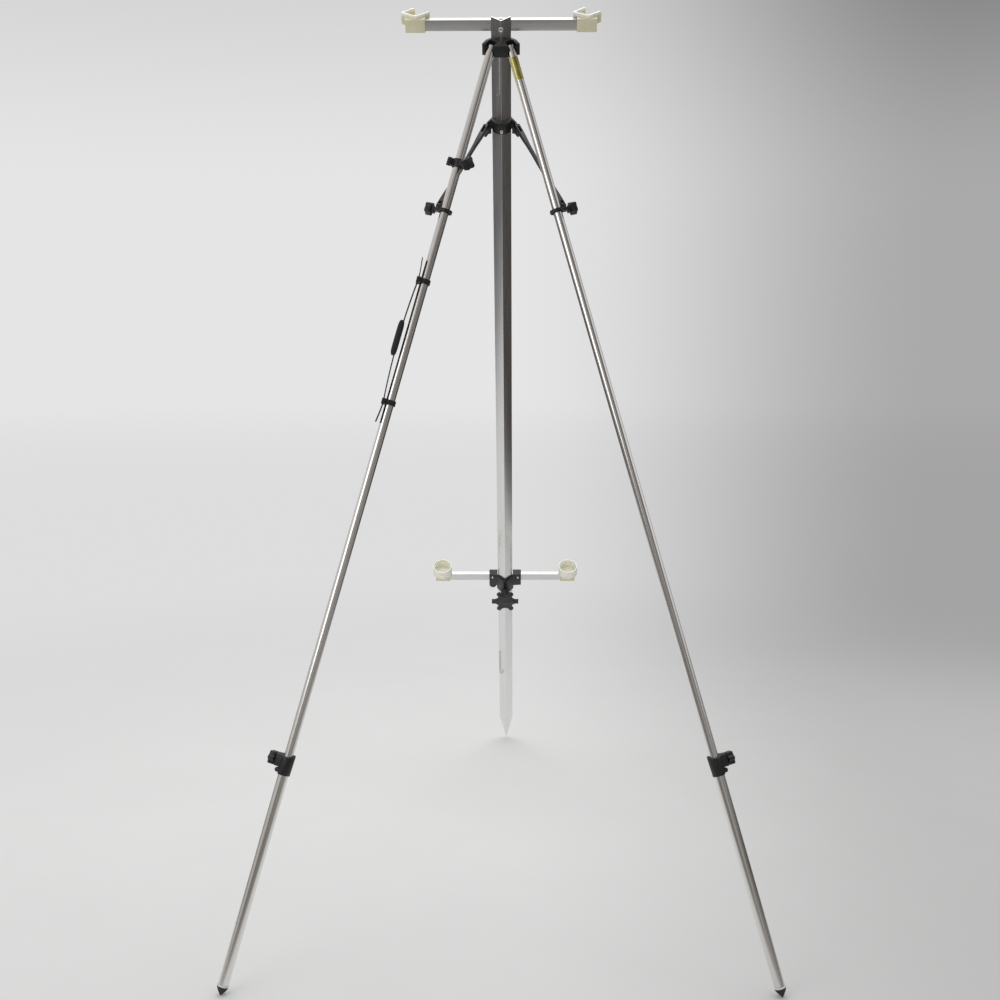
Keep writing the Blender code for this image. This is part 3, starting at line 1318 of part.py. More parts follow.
def main():
    build_post()
    build_collar()
    build_hub()
    build_hooks()
    build_saddle()
    build_upper_bar()
    build_rod_rests()
    for name, side in SIDES.items():
        build_leg(name, side)
        build_lower_leg(name, side)
        build_strut(name, side)
        build_clamp(name, side)
    build_accessory()
    build_strap()
    build_bracket()
    build_lower_bar()
    finish()


main()
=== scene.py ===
"""Surf rod tripod: looks, stage and camera round the packed model.

The packed model is loaded as a fixed frame. Tubes, the angle post, the crossbars, the strap and its grip
are new surfaces worked out with numpy in the frames of the model's own joints. Moulded pieces are copies of
the packed ones with their edges rounded. Lengths are in metres, +Z is up, and the legs are on the -Y side.
"""

import json
import math

import bmesh
import bpy
import numpy as np
from mathutils import Matrix, Vector


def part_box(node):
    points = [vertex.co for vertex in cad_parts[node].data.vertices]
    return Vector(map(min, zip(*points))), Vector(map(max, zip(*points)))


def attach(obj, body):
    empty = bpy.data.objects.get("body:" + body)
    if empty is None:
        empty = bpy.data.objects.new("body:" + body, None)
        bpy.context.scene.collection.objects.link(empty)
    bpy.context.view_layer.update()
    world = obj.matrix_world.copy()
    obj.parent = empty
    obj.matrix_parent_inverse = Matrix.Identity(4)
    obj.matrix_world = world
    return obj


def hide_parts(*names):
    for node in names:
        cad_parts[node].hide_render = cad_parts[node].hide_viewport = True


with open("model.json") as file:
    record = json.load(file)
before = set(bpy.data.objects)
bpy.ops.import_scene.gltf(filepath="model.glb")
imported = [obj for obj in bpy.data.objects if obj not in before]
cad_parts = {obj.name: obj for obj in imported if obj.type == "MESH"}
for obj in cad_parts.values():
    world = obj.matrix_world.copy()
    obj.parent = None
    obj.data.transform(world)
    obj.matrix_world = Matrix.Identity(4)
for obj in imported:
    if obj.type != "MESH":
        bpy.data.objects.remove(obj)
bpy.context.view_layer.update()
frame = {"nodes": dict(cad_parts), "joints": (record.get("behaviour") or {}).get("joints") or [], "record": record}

bl_info = {
    "name": "Surf Rod Tripod",
    "version": (1, 0, 0),
    "blender": (4, 5, 0),
    "location": "View3D > Sidebar > Tripod",
    "description": "Builds the finishes, the strap, the tubes and the studio of a surf rod tripod",
    "category": "Object",
}

NODES = frame["nodes"]
JOINTS = {joint["name"]: joint for joint in frame["joints"]}
BODY_OF = {node: body for body, nodes in frame["record"]["behaviour"]["bodies"].items() for node in nodes}
SIDES = ("left", "right")
ENDS = (0, -1)


# ---- Frames of the model's own joints ----
def unit(vector):
    vector = np.asarray(vector, float)
    return vector / np.linalg.norm(vector)


def joint_place(name):
    return np.asarray(JOINTS[name]["pos_m"], float)


def joint_axis(name):
    return unit(JOINTS[name]["axis"])


def frame_of(origin, x_axis, z_axis):
    """A 4 x 4 place with Z as given, X turned square to it, and Y completing a right-handed set."""
    z = unit(z_axis)
    x = unit(np.asarray(x_axis, float) - np.dot(x_axis, z) * z)
    place = np.eye(4)
    place[:3, 0] = x
    place[:3, 1] = np.cross(z, x)
    place[:3, 2] = z
    place[:3, 3] = origin
    return place


# The bracket sits this far down the post from its top.
BRACKET_DOWN = 1.4375
UP_POST = joint_axis("bracket_slide")
POST = frame_of(joint_place("bracket_slide") + UP_POST * BRACKET_DOWN, joint_axis("lower_bar_slide"), UP_POST)
LEGS = {
    side: frame_of(
        joint_place(f"leg_fold_{side}"), joint_axis(f"leg_fold_{side}"), joint_axis(f"lower_leg_slide_{side}")
    )
    for side in SIDES
}


def moved(points, place):
    """Points of any grid shape carried from a local frame to the model's frame."""
    return np.asarray(points, float) @ place[:3, :3].T + place[:3, 3]


def local_points(node, place):
    """A packed node's corners in a local frame."""
    mesh = NODES[node].data
    flat = np.empty(len(mesh.vertices) * 3, np.float32)
    mesh.vertices.foreach_get("co", flat)
    return (flat.reshape(-1, 3).astype(float) - place[:3, 3]) @ place[:3, :3]


def local_span(node, place):
    """Lowest and highest corner of a packed node in a local frame."""
    points = local_points(node, place)
    return points.min(0), points.max(0)


# ---- Surfaces ----
def surface(name, grid, wrap_u=False, wrap_v=False, cap_u=(), cap_v=(), uv=None):
    """A mesh from a grid of points: rows run along u and columns along v, and neighbours make one quad.

    A wrapped side joins its last line to its first. A capped side closes the end lines that it names with one
    face each. A stack of grids becomes one mesh of separate shells. Every face is turned outwards.
    """
    count_u, count_v = grid.shape[-3:-1]
    index = np.arange(grid.size // 3).reshape(-1, count_u, count_v)
    rows = np.arange(count_u if wrap_u else count_u - 1)
    cols = np.arange(count_v if wrap_v else count_v - 1)
    i, j = np.meshgrid(rows, cols, indexing="ij")
    i2 = (i + 1) % count_u
    j2 = (j + 1) % count_v
    quads = np.stack([index[:, i, j], index[:, i2, j], index[:, i2, j2], index[:, i, j2]], -1)
    faces = quads.reshape(-1, 4).tolist()
    for shell in index:
        lines_v = {0: shell[::-1, 0], -1: shell[:, -1]}
        lines_u = {0: shell[0], -1: shell[-1, ::-1]}
        faces += [lines_v[end].tolist() for end in cap_v] + [lines_u[end].tolist() for end in cap_u]
    mesh = bpy.data.meshes.new(name)
    mesh.from_pydata(grid.reshape(-1, 3).tolist(), [], faces)
    if uv is not None:
        corner = np.empty(len(mesh.loops), np.int32)
        mesh.loops.foreach_get("vertex_index", corner)
        layer = mesh.uv_layers.new(name="UVMap")
        layer.data.foreach_set("uv", uv.reshape(-1, 2)[corner].ravel())
    shape = bmesh.new()
    shape.from_mesh(mesh)
    bmesh.ops.recalc_face_normals(shape, faces=shape.faces)
    shape.to_mesh(mesh)
    shape.free()
    mesh.update()
    return mesh


def piece(name, mesh, material, node=None, sharp=30.0, body=None):
    """A shown piece at the origin that rides on a body, with smooth faces between its sharp edges.

    It stands for a packed node and takes its body, or it is an extra with a body given.
    """
    made = bpy.data.objects.new(name, mesh)
    bpy.context.scene.collection.objects.link(made)
    mesh.materials.clear()
    mesh.materials.append(material)
    mesh.shade_smooth()
    mesh.set_sharp_from_angle(angle=math.radians(sharp))
    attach(made, body or BODY_OF[node])
    if node:
        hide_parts(node)


def shown(name, grid, place, material, node=None, sharp=30.0, body=None, slot=None, **edges):
    """A shown piece from a grid of points in a local frame."""
    piece(name, surface(name, moved(grid, place), **edges), material, node, sharp, body)


def rounded_outline(corners, radii, steps=6):
    """A closed outline with arcs for corners: each centre lies on the bisector, at its own radius."""
    corners = np.asarray(corners, float)
    t = np.linspace(0, 1, steps + 1)[:, None]
    parts = []
    for k, (corner, radius) in enumerate(zip(corners, np.broadcast_to(radii, len(corners)))):
        if radius <= 0:
            parts.append(corner[None])
            continue
        back = unit(corners[k - 1] - corner)
        ahead = unit(corners[(k + 1) % len(corners)] - corner)
        half = math.acos(float(np.clip(np.dot(back, ahead), -1, 1))) / 2
        centre = corner + unit(back + ahead) * radius / math.sin(half)
        first, last = (corner + way * radius / math.tan(half) - centre for way in (back, ahead))
        spokes = first * (1 - t) + last * t
        spokes *= radius / np.linalg.norm(spokes, axis=1, keepdims=True)
        parts.append(centre + spokes)
    return np.concatenate(parts)


def prism_grid(outline, heights):
    """A straight sweep: point (i, j) is the outline's i-th point at the j-th of that point's own heights."""
    x, y = outline.T[:, :, None]
    return np.stack(np.broadcast_arrays(x, y, heights), -1)


def around(steps):
    """Equal angles round a full turn, as a column."""
    return np.linspace(0, 2 * math.pi, steps, endpoint=False)[:, None]


def polar(radii, angle, heights):
    """Points at a radius, an angle round Z and a height, each spread over the shape of all three."""
    return np.stack(np.broadcast_arrays(radii * np.cos(angle), radii * np.sin(angle), heights), -1)


def turned_grid(radii, heights, steps=64):
    """A turned surface: point (i, j) is at angle i round Z, at the profile's j-th radius and height."""
    return polar(np.asarray(radii, float)[None], around(steps), np.asarray(heights, float)[None])


# ---- Node trees ----
class Nodes:
    """A node tree, with short calls for the nodes that the finishes and the studio are made of."""

    def __init__(self, tree):
        self.tree = tree

    def put(self, socket, value):
        """A link if the value is a socket, and a set number or colour if not."""
        if isinstance(value, bpy.types.NodeSocket):
            self.tree.links.new(value, socket)
        elif socket.type == "RGBA":
            socket.default_value = (*value, 1.0)
        else:
            socket.default_value = value

    def add(self, kind, inputs=None, **values):
        """A node with its own settings, and its inputs linked or set."""
        node = self.tree.nodes.new(kind)
        for key, value in values.items():
            setattr(node, key, value)
        for key, value in (inputs or {}).items():
            self.put(node.inputs[key], value)
        return node

    def part_of(self, vector, axis):
        return self.add("ShaderNodeSeparateXYZ", {0: vector}).outputs[axis]

    def span(self, value, low, high, to_low=0.0, to_high=1.0, kind="LINEAR"):
        """The value's run from low to high, carried to another run and held past its ends."""
        inputs = {"Value": value, "From Min": low, "From Max": high, "To Min": to_low, "To Max": to_high}
        return self.add("ShaderNodeMapRange", inputs, interpolation_type=kind).outputs["Result"]

    def fade(self, value, low, high, to_low=0.0, to_high=1.0):
        """A span that eases in and out."""
        return self.span(value, low, high, to_low, to_high, "SMOOTHSTEP")

    def fold(self, operation, total, *values):
        """The values taken together one after the other."""
        for value in values:
            total = self.add("ShaderNodeMath", {0: total, 1: value}, operation=operation).outputs[0]
        return total

    def sum(self, *values):
        return self.fold("ADD", *values)

    def product(self, *values):
        return self.fold("MULTIPLY", *values)

    def blend(self, share, first, second, mode="MIX"):
        inputs = {"Factor": share, "A": first, "B": second}
        return self.add("ShaderNodeMix", inputs, data_type="RGBA", blend_type=mode).outputs["Result"]

    def emission(self, colour):
        return self.add("ShaderNodeEmission", {"Color": colour}).outputs[0]

    def mix_shader(self, share, first, second):
        return self.add("ShaderNodeMixShader", {0: share, 1: first, 2: second}).outputs[0]


class Look(Nodes):
    """A material's node tree, with the coordinates, patterns and relief of the finishes below."""

    def __init__(self, name):
        self.material = bpy.data.materials.new(name)
        self.material.use_nodes = True
        super().__init__(self.material.node_tree)
        self.shader = self.tree.nodes["Principled BSDF"]

    def object_place(self, place=None, stretch=(1, 1, 1)):
        """Object coordinates in a piece's own frame, each divided by its stretch."""
        inputs = {"Vector": self.add("ShaderNodeTexCoord").outputs["Object"], "Scale": stretch}
        if place is not None:
            matrix = Matrix(place.tolist())
            inputs.update(Location=matrix.translation, Rotation=matrix.to_euler())
        return self.add("ShaderNodeMapping", inputs, vector_type="TEXTURE").outputs["Vector"]

    def uv_place(self, scale):
        source = self.add("ShaderNodeUVMap", uv_map="UVMap").outputs["UV"]
        return self.add("ShaderNodeMapping", {"Vector": source, "Scale": scale}).outputs["Vector"]

    def noise(self, vector, scale, detail=3.0, roughness=0.55, distortion=0.0):
        inputs = {"Vector": vector, "Scale": scale, "Detail": detail}
        inputs.update(Roughness=roughness, Distortion=distortion)
        return self.add("ShaderNodeTexNoise", inputs).outputs["Fac"]

    def streaks(self, place, stretch, scale, low, high, detail=2.0):
        """Thin marks, where a stretched noise runs high."""
        return self.span(self.noise(self.object_place(place, stretch), scale, detail), low, high)

    def cells(self, vector, scale):
        return self.add("ShaderNodeTexVoronoi", {"Vector": vector, "Scale": scale}).outputs["Distance"]

    def dots(self, vector, scale, near, far):
        """Round specks: whole up to the near distance from each cell's point, and gone at the far one."""
        return self.span(self.cells(vector, scale), near, far, 1.0, 0.0)

    def waves(self, vector, scale, distortion=0.0, **values):
        inputs = {"Vector": vector, "Scale": scale, "Distortion": distortion}
        return self.add("ShaderNodeTexWave", inputs, **values).outputs["Fac"]

    def overlay(self, base, mask, amount, colour):
        """A colour laid over the base by the amount given, where the mask is full."""
        return self.blend(self.product(mask, amount), base, colour)

    def relief(self, height, depth, strength=1.0, below=None):
        """A bump whose full height is depth, laid over the relief below it."""
        inputs = {"Strength": strength, "Distance": depth, "Height": height}
        if below is not None:
            inputs["Normal"] = below
        return self.add("ShaderNodeBump", inputs).outputs["Normal"]

    def finish(self, **values):
        for key, value in values.items():
            self.put(self.shader.inputs[key.replace("_", " ")], value)
        return self.material


# Colours of wear and dirt, in the order of the finishes that they mark, with painted top light on the cream
# plastic and a painted highlight on the film.
DULL_PATCH = (0.72, 0.68, 0.62)
DARK_SPECK = (0.30, 0.29, 0.27)
BRIGHT_SCRATCH = (0.93, 0.93, 0.92)
PLASTIC_DUST = (0.12, 0.115, 0.11)
PLASTIC_SCUFF = (0.34, 0.34, 0.35)
PAINTED_TOP_LIGHT_CREAM = (0.95, 0.95, 0.90)
CREAM_DEPTH = (0.90, 0.89, 0.78)
CREAM_SCUFF = (0.62, 0.60, 0.50)
CREAM_SINK = (1.0, 0.85, 0.45)
SALT_PIT = (0.33, 0.27, 0.21)
RUBBER_BLACK = (0.018, 0.018, 0.019)
RUBBER_DUST = (0.085, 0.080, 0.072)
THREAD_DARK = (0.010, 0.010, 0.011)
THREAD_LIGHT = (0.050, 0.050, 0.053)
THREAD_FADED = (0.075, 0.073, 0.070)
THREAD_FUZZ = (0.13, 0.13, 0.13)
FILM_PAINTED_HIGHLIGHT = (0.92, 0.86, 0.42)
FILM_HAIRLINE = (0.75, 0.72, 0.45)

# Above this height over its bar, a rest's or cup's wall stands clear of the socket, and the painted top light on
# the rests and cups starts there.
SOCKET_TOP = 0.010


def drawn_metal(name, colour, place, roughness, lines, dull):
    """Drawn or extruded aluminium: die lines and fine scratches along its length, dull patches and specks."""
    look = Look(name)
    along = look.object_place(place, (1, 1, 90))
    die = look.noise(along, 700.0, 4.0, 0.65)
    fine = look.noise(along, 2600.0, 2.0, 0.6)
    broad = look.noise(look.object_place(place, (1, 1, 7)), 24.0, 3.0, 0.6)
    cloud = look.noise(look.object_place(place), 9.0, 4.0, 0.62)
    specks = look.dots(look.object_place(place, (1, 1, 2.5)), 190.0, 0.03, 0.11)
    scratch = look.streaks(place, (1, 1, 26), 1500.0, 0.70, 0.78, 1.0)
    grey = look.blend(look.span(die, 0.30, 0.72), [c * (1 - 0.16 * lines) for c in colour], colour)
    worn = look.overlay(grey, look.span(cloud, 0.48, 0.72), 0.30 * dull, DULL_PATCH)
    spotted = look.overlay(worn, specks, 0.35, DARK_SPECK)
    bright = look.overlay(spotted, scratch, 0.45, BRIGHT_SCRATCH)
    rough = look.sum(
        look.span(die, 0.2, 0.8, roughness - 0.05 * lines, roughness + 0.06 * lines),
        look.span(broad, 0.35, 0.75, -0.03, 0.10 * dull),
        look.product(specks, 0.25),
    )
    ridges = look.sum(look.product(die, 0.7 * lines), look.product(fine, 0.3), look.product(scratch, -0.4))
    normal = look.relief(cloud, 0.00012, 0.35, look.relief(ridges, 0.000018))
    return look.finish(Base_Color=bright, Metallic=1.0, Roughness=rough, Normal=normal)


def moulded_plastic(name, colour, place=None, roughness=0.46, grain=1.0, scuff=0.10, flow=0.5):
    """Moulded plastic: a fine sparked grain, faint flow marks, dust and a few pale scuffs."""
    look = Look(name)
    spot = look.object_place(place)
    spark = look.noise(spot, 2400.0, 2.0, 0.5)
    pebble = look.cells(spot, 1500.0)
    marks = look.noise(look.object_place(place, (1, 1, 3)), 60.0, 4.0, 0.55, 1.2)
    dust = look.noise(spot, 130.0, 5.0, 0.7)
    rubs = look.streaks(place, (0.5, 1, 5), 420.0, 0.66, 0.76)
    lighter = [min(1.0, c * 1.8 + 0.006) for c in colour]
    base = look.overlay(colour, look.span(marks, 0.35, 0.75), flow, lighter)
    dusty = look.overlay(base, look.span(dust, 0.55, 0.85), 0.22, PLASTIC_DUST)
    rough = look.sum(
        look.span(spark, 0.3, 0.7, roughness - 0.05, roughness + 0.06),
        look.span(marks, 0.4, 0.8, 0.0, 0.10),
        look.product(rubs, 0.12),
    )
    height = look.sum(look.product(spark, 0.6), look.product(pebble, 0.4))
    normal = look.relief(marks, 0.00010, 0.3, look.relief(height, 0.00004 * grain))
    scuffed = look.overlay(dusty, rubs, scuff, PLASTIC_SCUFF)
    return look.finish(Base_Color=scuffed, Roughness=rough, Normal=normal)


def glow_plastic(name, colour, place):
    """Cream glow plastic: light sinks in a little, with a faint cloudy fill, flow marks and hairline scuffs.

    Above the socket's top the colour is lightened towards cream white: painted top light, as if the walls caught
    the light from above.
    """
    look = Look(name)
    spot = look.object_place(place)
    cloud = look.noise(spot, 70.0, 4.0, 0.6)
    flow = look.noise(look.object_place(place, (1, 1, 4)), 110.0, 3.0, 0.55, 1.5)
    fine = look.noise(spot, 1900.0, 2.0, 0.5)
    rubs = look.streaks(place, (6, 0.6, 1), 500.0, 0.68, 0.78)
    deep = [c * k for c, k in zip(colour, CREAM_DEPTH)]
    base = look.blend(look.span(cloud, 0.35, 0.70), deep, colour)
    toned = look.overlay(base, look.span(flow, 0.5, 0.8), 0.35, [min(1.0, c * 1.08) for c in colour])
    # Painted top light: this mask is full above the socket's top, where the walls are lightened as if lit from
    # above.
    thin = look.fade(look.part_of(spot, "X"), SOCKET_TOP, SOCKET_TOP + 0.006)
    lit = look.overlay(toned, thin, 0.75, PAINTED_TOP_LIGHT_CREAM)
    look.shader.subsurface_method = "RANDOM_WALK"
    return look.finish(
        Base_Color=look.overlay(lit, rubs, 0.10, CREAM_SCUFF),
        Roughness=look.sum(look.span(fine, 0.3, 0.7, 0.34, 0.42), look.product(rubs, 0.15)),
        Normal=look.relief(cloud, 0.00016, 0.4, look.relief(fine, 0.00002)),
        Subsurface_Weight=0.35,
        Subsurface_Radius=CREAM_SINK,
        Subsurface_Scale=0.004,
    )


def bright_steel(name, place, colour, roughness=0.17, rings=1500.0, pitted=0.3):
    """Bright fasteners: turning marks round the piece's own axis, fine pits and a film of salt haze."""
    look = Look(name)
    spot = look.object_place(place)
    turning = look.waves(spot, rings, 0.6, wave_type="RINGS", rings_direction="Z")
    haze = look.noise(spot, 320.0, 4.0, 0.6)
    pits = look.dots(spot, 900.0, 0.05, 0.16)
    base = look.blend(look.span(haze, 0.45, 0.75), colour, [c * 0.80 for c in colour])
    rough = look.sum(look.span(haze, 0.3, 0.8, roughness - 0.04, roughness + 0.12), look.product(pits, 0.25))
    normal = look.relief(look.sum(look.product(turning, 0.5), look.product(pits, -0.6)), 0.00002)
    pocked = look.overlay(base, pits, pitted, SALT_PIT)
    return look.finish(Base_Color=pocked, Metallic=1.0, Roughness=rough, Normal=normal)


def black_rubber(name, place):
    """Matt rubber: fine pores and patches of pale dust."""
    look = Look(name)
    spot = look.object_place(place)
    dust = look.noise(spot, 260.0, 5.0, 0.7)
    base = look.blend(look.span(dust, 0.45, 0.80), RUBBER_BLACK, RUBBER_DUST)
    height = look.sum(look.product(look.cells(spot, 1300.0), 0.5), look.product(dust, 0.5))
    rough = look.span(dust, 0.3, 0.8, 0.72, 0.90)
    return look.finish(Base_Color=base, Roughness=rough, Normal=look.relief(height, 0.00010))


def woven_webbing(name, across=22.0, along=270.0):
    """Webbing on its own UV: ribs of twill run along it, crossed by picks, with a fuzz of loose ends."""
    look = Look(name)
    place = look.uv_place((across, along, 1.0))
    u, v = (look.part_of(place, axis) for axis in "XY")
    slant = look.add("ShaderNodeCombineXYZ", {0: look.sum(u, look.product(v, 0.5))}).outputs[0]
    ribs = look.waves(slant, 0.5, bands_direction="X")
    picks = look.waves(place, 0.5, bands_direction="Y")
    fuzz = look.noise(place, 5.0, 4.0, 0.7)
    broad = look.noise(place, 0.05, 3.0, 0.6)
    weave = look.product(ribs, picks)
    thread = look.blend(look.span(weave, 0.1, 0.8), THREAD_DARK, THREAD_LIGHT)
    faded = look.overlay(thread, look.span(broad, 0.45, 0.75), 0.4, THREAD_FADED)
    return look.finish(
        Base_Color=look.overlay(faded, look.span(fuzz, 0.62, 0.80), 0.3, THREAD_FUZZ),
        Roughness=look.span(fuzz, 0.3, 0.8, 0.80, 0.95),
        Normal=look.relief(look.sum(weave, look.product(fuzz, 0.3)), 0.00035),
        Sheen_Weight=0.25,
        Sheen_Roughness=0.45,
    )


def plain_film(name, place, colour):
    """A bare wrap of glossy film: a painted highlight lightens one side, with tiny bubbles and hairlines."""
    look = Look(name)
    spot = look.object_place(place)
    cloud = look.noise(look.object_place(place, (1, 1, 3)), 120.0, 3.0, 0.6)
    bubbles = look.dots(spot, 520.0, 0.04, 0.10)
    hair = look.streaks(place, (1, 1, 30), 1500.0, 0.66, 0.75, 1.0)
    base = look.blend(look.span(cloud, 0.35, 0.70), [c * 0.45 for c in colour], colour)
    radius = UPPER_TUBE[0]
    # Painted highlight: the film turns pale yellow along one side of the tube, where a light would be mirrored.
    rim = look.fade(look.part_of(spot, "X"), -radius * 0.80, -radius * 0.55, 1.0, 0.0)
    edged = look.overlay(base, rim, 0.85, FILM_PAINTED_HIGHLIGHT)
    return look.finish(
        Base_Color=look.overlay(edged, hair, 0.25, FILM_HAIRLINE),
        Metallic=0.9,
        Roughness=look.span(cloud, 0.3, 0.8, 0.22, 0.36),
        Normal=look.relief(look.sum(look.product(bubbles, 0.7), look.product(cloud, 0.3)), 0.00006),
        Coat_Weight=0.4,
        Coat_Roughness=0.12,
    )


# ---- Sizes and colours a user would change ----
def colour_value(name, description, default):
    return bpy.props.FloatVectorProperty(
        name=name, description=description, default=default, size=3, min=0.0, max=1.0, subtype="COLOR"
    )


def number(name, description, default, low=0.0, **limits):
    return bpy.props.FloatProperty(name=name, description=description, default=default, min=low, **limits)


class TripodFinish(bpy.types.PropertyGroup):
    """Colours and polish of the tripod's materials."""

    aluminium: colour_value("Leg aluminium", "Base colour of the bright leg tubes", (0.86, 0.85, 0.83))
    post: colour_value("Post aluminium", "Base colour of the angle post", (0.88, 0.88, 0.88))
    bar: colour_value("Crossbar aluminium", "Base colour of the crossbars", (0.78, 0.79, 0.77))
    black: colour_value("Black plastic", "Base colour of the moulded fittings", (0.011, 0.011, 0.012))
    grip: colour_value("Grip rubber", "Base colour of the strap's grip", (0.016, 0.016, 0.017))
    cream: colour_value("Cream plastic", "Base colour of the rests and cups", (0.79, 0.75, 0.57))
    film: colour_value("Film band", "Base colour of the bare band on the right leg", (0.60, 0.52, 0.13))
    steel: colour_value("Fasteners", "Base colour of bolts, pins and screws", (0.76, 0.76, 0.77))
    pale: colour_value("Pale ring", "Base colour of the rings above the feet", (0.70, 0.69, 0.66))
    polish: number("Tube roughness", "Mean roughness of the leg tubes", 0.20, max=1.0, subtype="FACTOR")


class TripodSizes(bpy.types.PropertyGroup):
    """Fine sizes that the packed model leaves to the visible surface."""

    edge: number("Plastic edge", "Radius on the edges of moulded pieces", 0.0005, unit="LENGTH")
    metal_edge: number("Metal edge", "Radius on the edges of the post and bars", 0.0004, unit="LENGTH")
    strap: number("Strap thickness", "Thickness of the webbing", 0.0016, unit="LENGTH")
    film_width: number("Film width", "Height of the bare band on the right leg", 0.042, unit="LENGTH")


class TripodStudio(bpy.types.PropertyGroup):
    """The floor, the light and the camera."""

    floor: colour_value("Floor", "Colour of the floor near the object", (0.86, 0.86, 0.855))
    sky: number("Room light", "Even light from all round", 0.55)
    key: number("Key light", "Power of the soft front light", 11.0, unit="POWER")
    top: number("Top light", "Power of the soft overhead light", 50.0, unit="POWER")
    lens: number("Lens", "Focal length for a 36 mm sensor", 48.125, 1.0, unit="CAMERA")


def settings():
    scene = bpy.context.scene
    return scene.tripod_finish, scene.tripod_sizes, scene.tripod_studio


# ---- Frames and finishes shared by the operators ----
def turned_about_z(angle):
    place = np.eye(4)
    place[:2, :2] = [[math.cos(angle), -math.sin(angle)], [math.sin(angle), math.cos(angle)]]
    return place


def node_frame(node, x_axis=(1, 0, 0), z_axis=(0, 0, 1)):
    """A frame at the middle of a packed node's box."""
    low, high = (np.asarray(corner, float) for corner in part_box(node))
    return frame_of((low + high) / 2, x_axis, z_axis)


BAR_TILT = POST[:3, 2]
BAR_BACK = POST[:3, 1]
UPPER_BAR = node_frame("upper_crossbar", BAR_TILT, (1, 0, 0))
LOWER_BAR = node_frame("lower_crossbar", BAR_TILT, (1, 0, 0))
STRAP_TURN = math.radians(20)
STRAP = LEGS["left"] @ turned_about_z(math.pi + STRAP_TURN)

# In a packed node, corners this close are one, and so are faces that turn less than this.
SAME_CORNER = 1e-5
FLAT_TURN = math.radians(1.0)
# Edges that turn more than this are rounded.
SHARP_TURN = math.radians(32.0)


def dress(node, material):
    """Gives a packed node its finish."""
    slots = NODES[node].material_slots
    for slot in slots:
        slot.material = material
    if not slots:
        NODES[node].data.materials.append(material)


def softened(node, material, width):
    """A copy of a packed node whose sharp edges are rounded, shown in its place."""
    mesh = NODES[node].data.copy()
    mesh.name = f"{node}_shape"
    shape = bmesh.new()
    shape.from_mesh(mesh)
    bmesh.ops.remove_doubles(shape, verts=shape.verts, dist=SAME_CORNER)
    bmesh.ops.dissolve_limit(shape, angle_limit=FLAT_TURN, verts=shape.verts, edges=shape.edges)
    edges = [edge for edge in shape.edges if edge.is_manifold and edge.calc_face_angle(0.0) > SHARP_TURN]
    bmesh.ops.bevel(
        shape, geom=edges, offset=width, segments=2, profile=0.5,
        affect="EDGES", clamp_overlap=True, loop_slide=True,
    )
    bmesh.ops.recalc_face_normals(shape, faces=shape.faces)
    shape.to_mesh(mesh)
    shape.free()
    piece(f"{node}_shown", mesh, material, node, 38.0)


# ---- Post ----
POST_LENGTH = 2.050
FLANGE_WIDTH = 0.025
FLANGE_THICKNESS = 0.002
SPEAR_LENGTH = 0.077
SPEAR_BLUNT = 0.0007
# Radii of the front ridge and of the inner root, as shares of the metal edge.
RIDGE_SHARE = 0.7
ROOT_SHARE = 3.5


def on_flange(along, off):
    """A point of the post's plan: along the right flange from the front ridge, and off its outer face."""
    return ((along + off) / math.sqrt(2), (along - off) / math.sqrt(2))


def post_grid(edge):
    """The angle's outline with rounded ridge, tips and root, swept up to the top.

    Its low end rises in step with the distance behind the blunt, which leaves the slanted spear.
    """
    wide, thick = FLANGE_WIDTH, FLANGE_THICKNESS
    right = [(0, 0), on_flange(wide, 0), on_flange(wide, -thick), on_flange(thick, -thick)]
    left = [(-x, y) for x, y in (right[2], right[1])]
    radii = [share * edge for share in (RIDGE_SHARE, 1, 1, ROOT_SHARE, 1, 1)]
    outline = rounded_outline(right + left, radii)
    back = (wide + thick) / math.sqrt(2)
    rise = SPEAR_LENGTH / (back - SPEAR_BLUNT)
    low = -POST_LENGTH + np.clip(outline[:, 1] - SPEAR_BLUNT, 0, None) * rise
    share = np.linspace(0, 1, 25)[None]
    return prism_grid(outline, low[:, None] * (1 - share))


class TRIPOD_OT_post(bpy.types.Operator):
    """Build the angle post with its rounded edges and its spear end"""

    bl_idname = "tripod.post"
    bl_label = "Angle Post"

    def execute(self, context):
        finish, sizes, _ = settings()
        metal = drawn_metal("Post Aluminium", finish.post, POST, 0.27, 1.0, 0.6)
        shown("angle_post", post_grid(sizes.metal_edge), POST, metal, "mast_angle", wrap_u=True, cap_v=ENDS)
        return {"FINISHED"}


# ---- Crossbars ----
BAR_HEIGHT = 0.020
BAR_DEPTH = 0.010
BAR_WALL = 0.0014


def box_tube_grid(length, edge):
    """A rectangular tube: the outer outline up its length and the inner one back, joined at both rims."""
    sides = []
    for inset, radius in ((0.0, 2 * edge), (BAR_WALL, edge)):
        x = BAR_HEIGHT / 2 - inset
        y = BAR_DEPTH / 2 - inset
        sides.append(rounded_outline([(-x, -y), (x, -y), (x, y), (-x, y)], radius))
    outer, inner = sides
    half = length / 2
    rows = [(outer, -half), (outer, 0.0), (outer, half), (inner, half), (inner, 0.0), (inner, -half)]
    return np.stack([np.column_stack([outline, np.full(len(outline), z)]) for outline, z in rows], 1)


class TRIPOD_OT_crossbars(bpy.types.Operator):
    """Build both crossbars as box tubes and round the edges of the seat between the upper one and the post"""

    bl_idname = "tripod.crossbars"
    bl_label = "Crossbars"

    def execute(self, context):
        finish, sizes, _ = settings()
        for which, place in (("upper", UPPER_BAR), ("lower", LOWER_BAR)):
            node = f"{which}_crossbar"
            low, high = local_span(node, place)
            metal = drawn_metal(f"Crossbar Aluminium {which}_bar", finish.bar, place, 0.30, 1.2, 0.5)
            grid = box_tube_grid(high[2] - low[2], sizes.metal_edge)
            shown(f"{which}_bar_tube", grid, place, metal, node, wrap_u=True, wrap_v=True)
        softened("crossbar_saddle", moulded_plastic("Saddle Plastic", finish.black), sizes.edge)
        return {"FINISHED"}


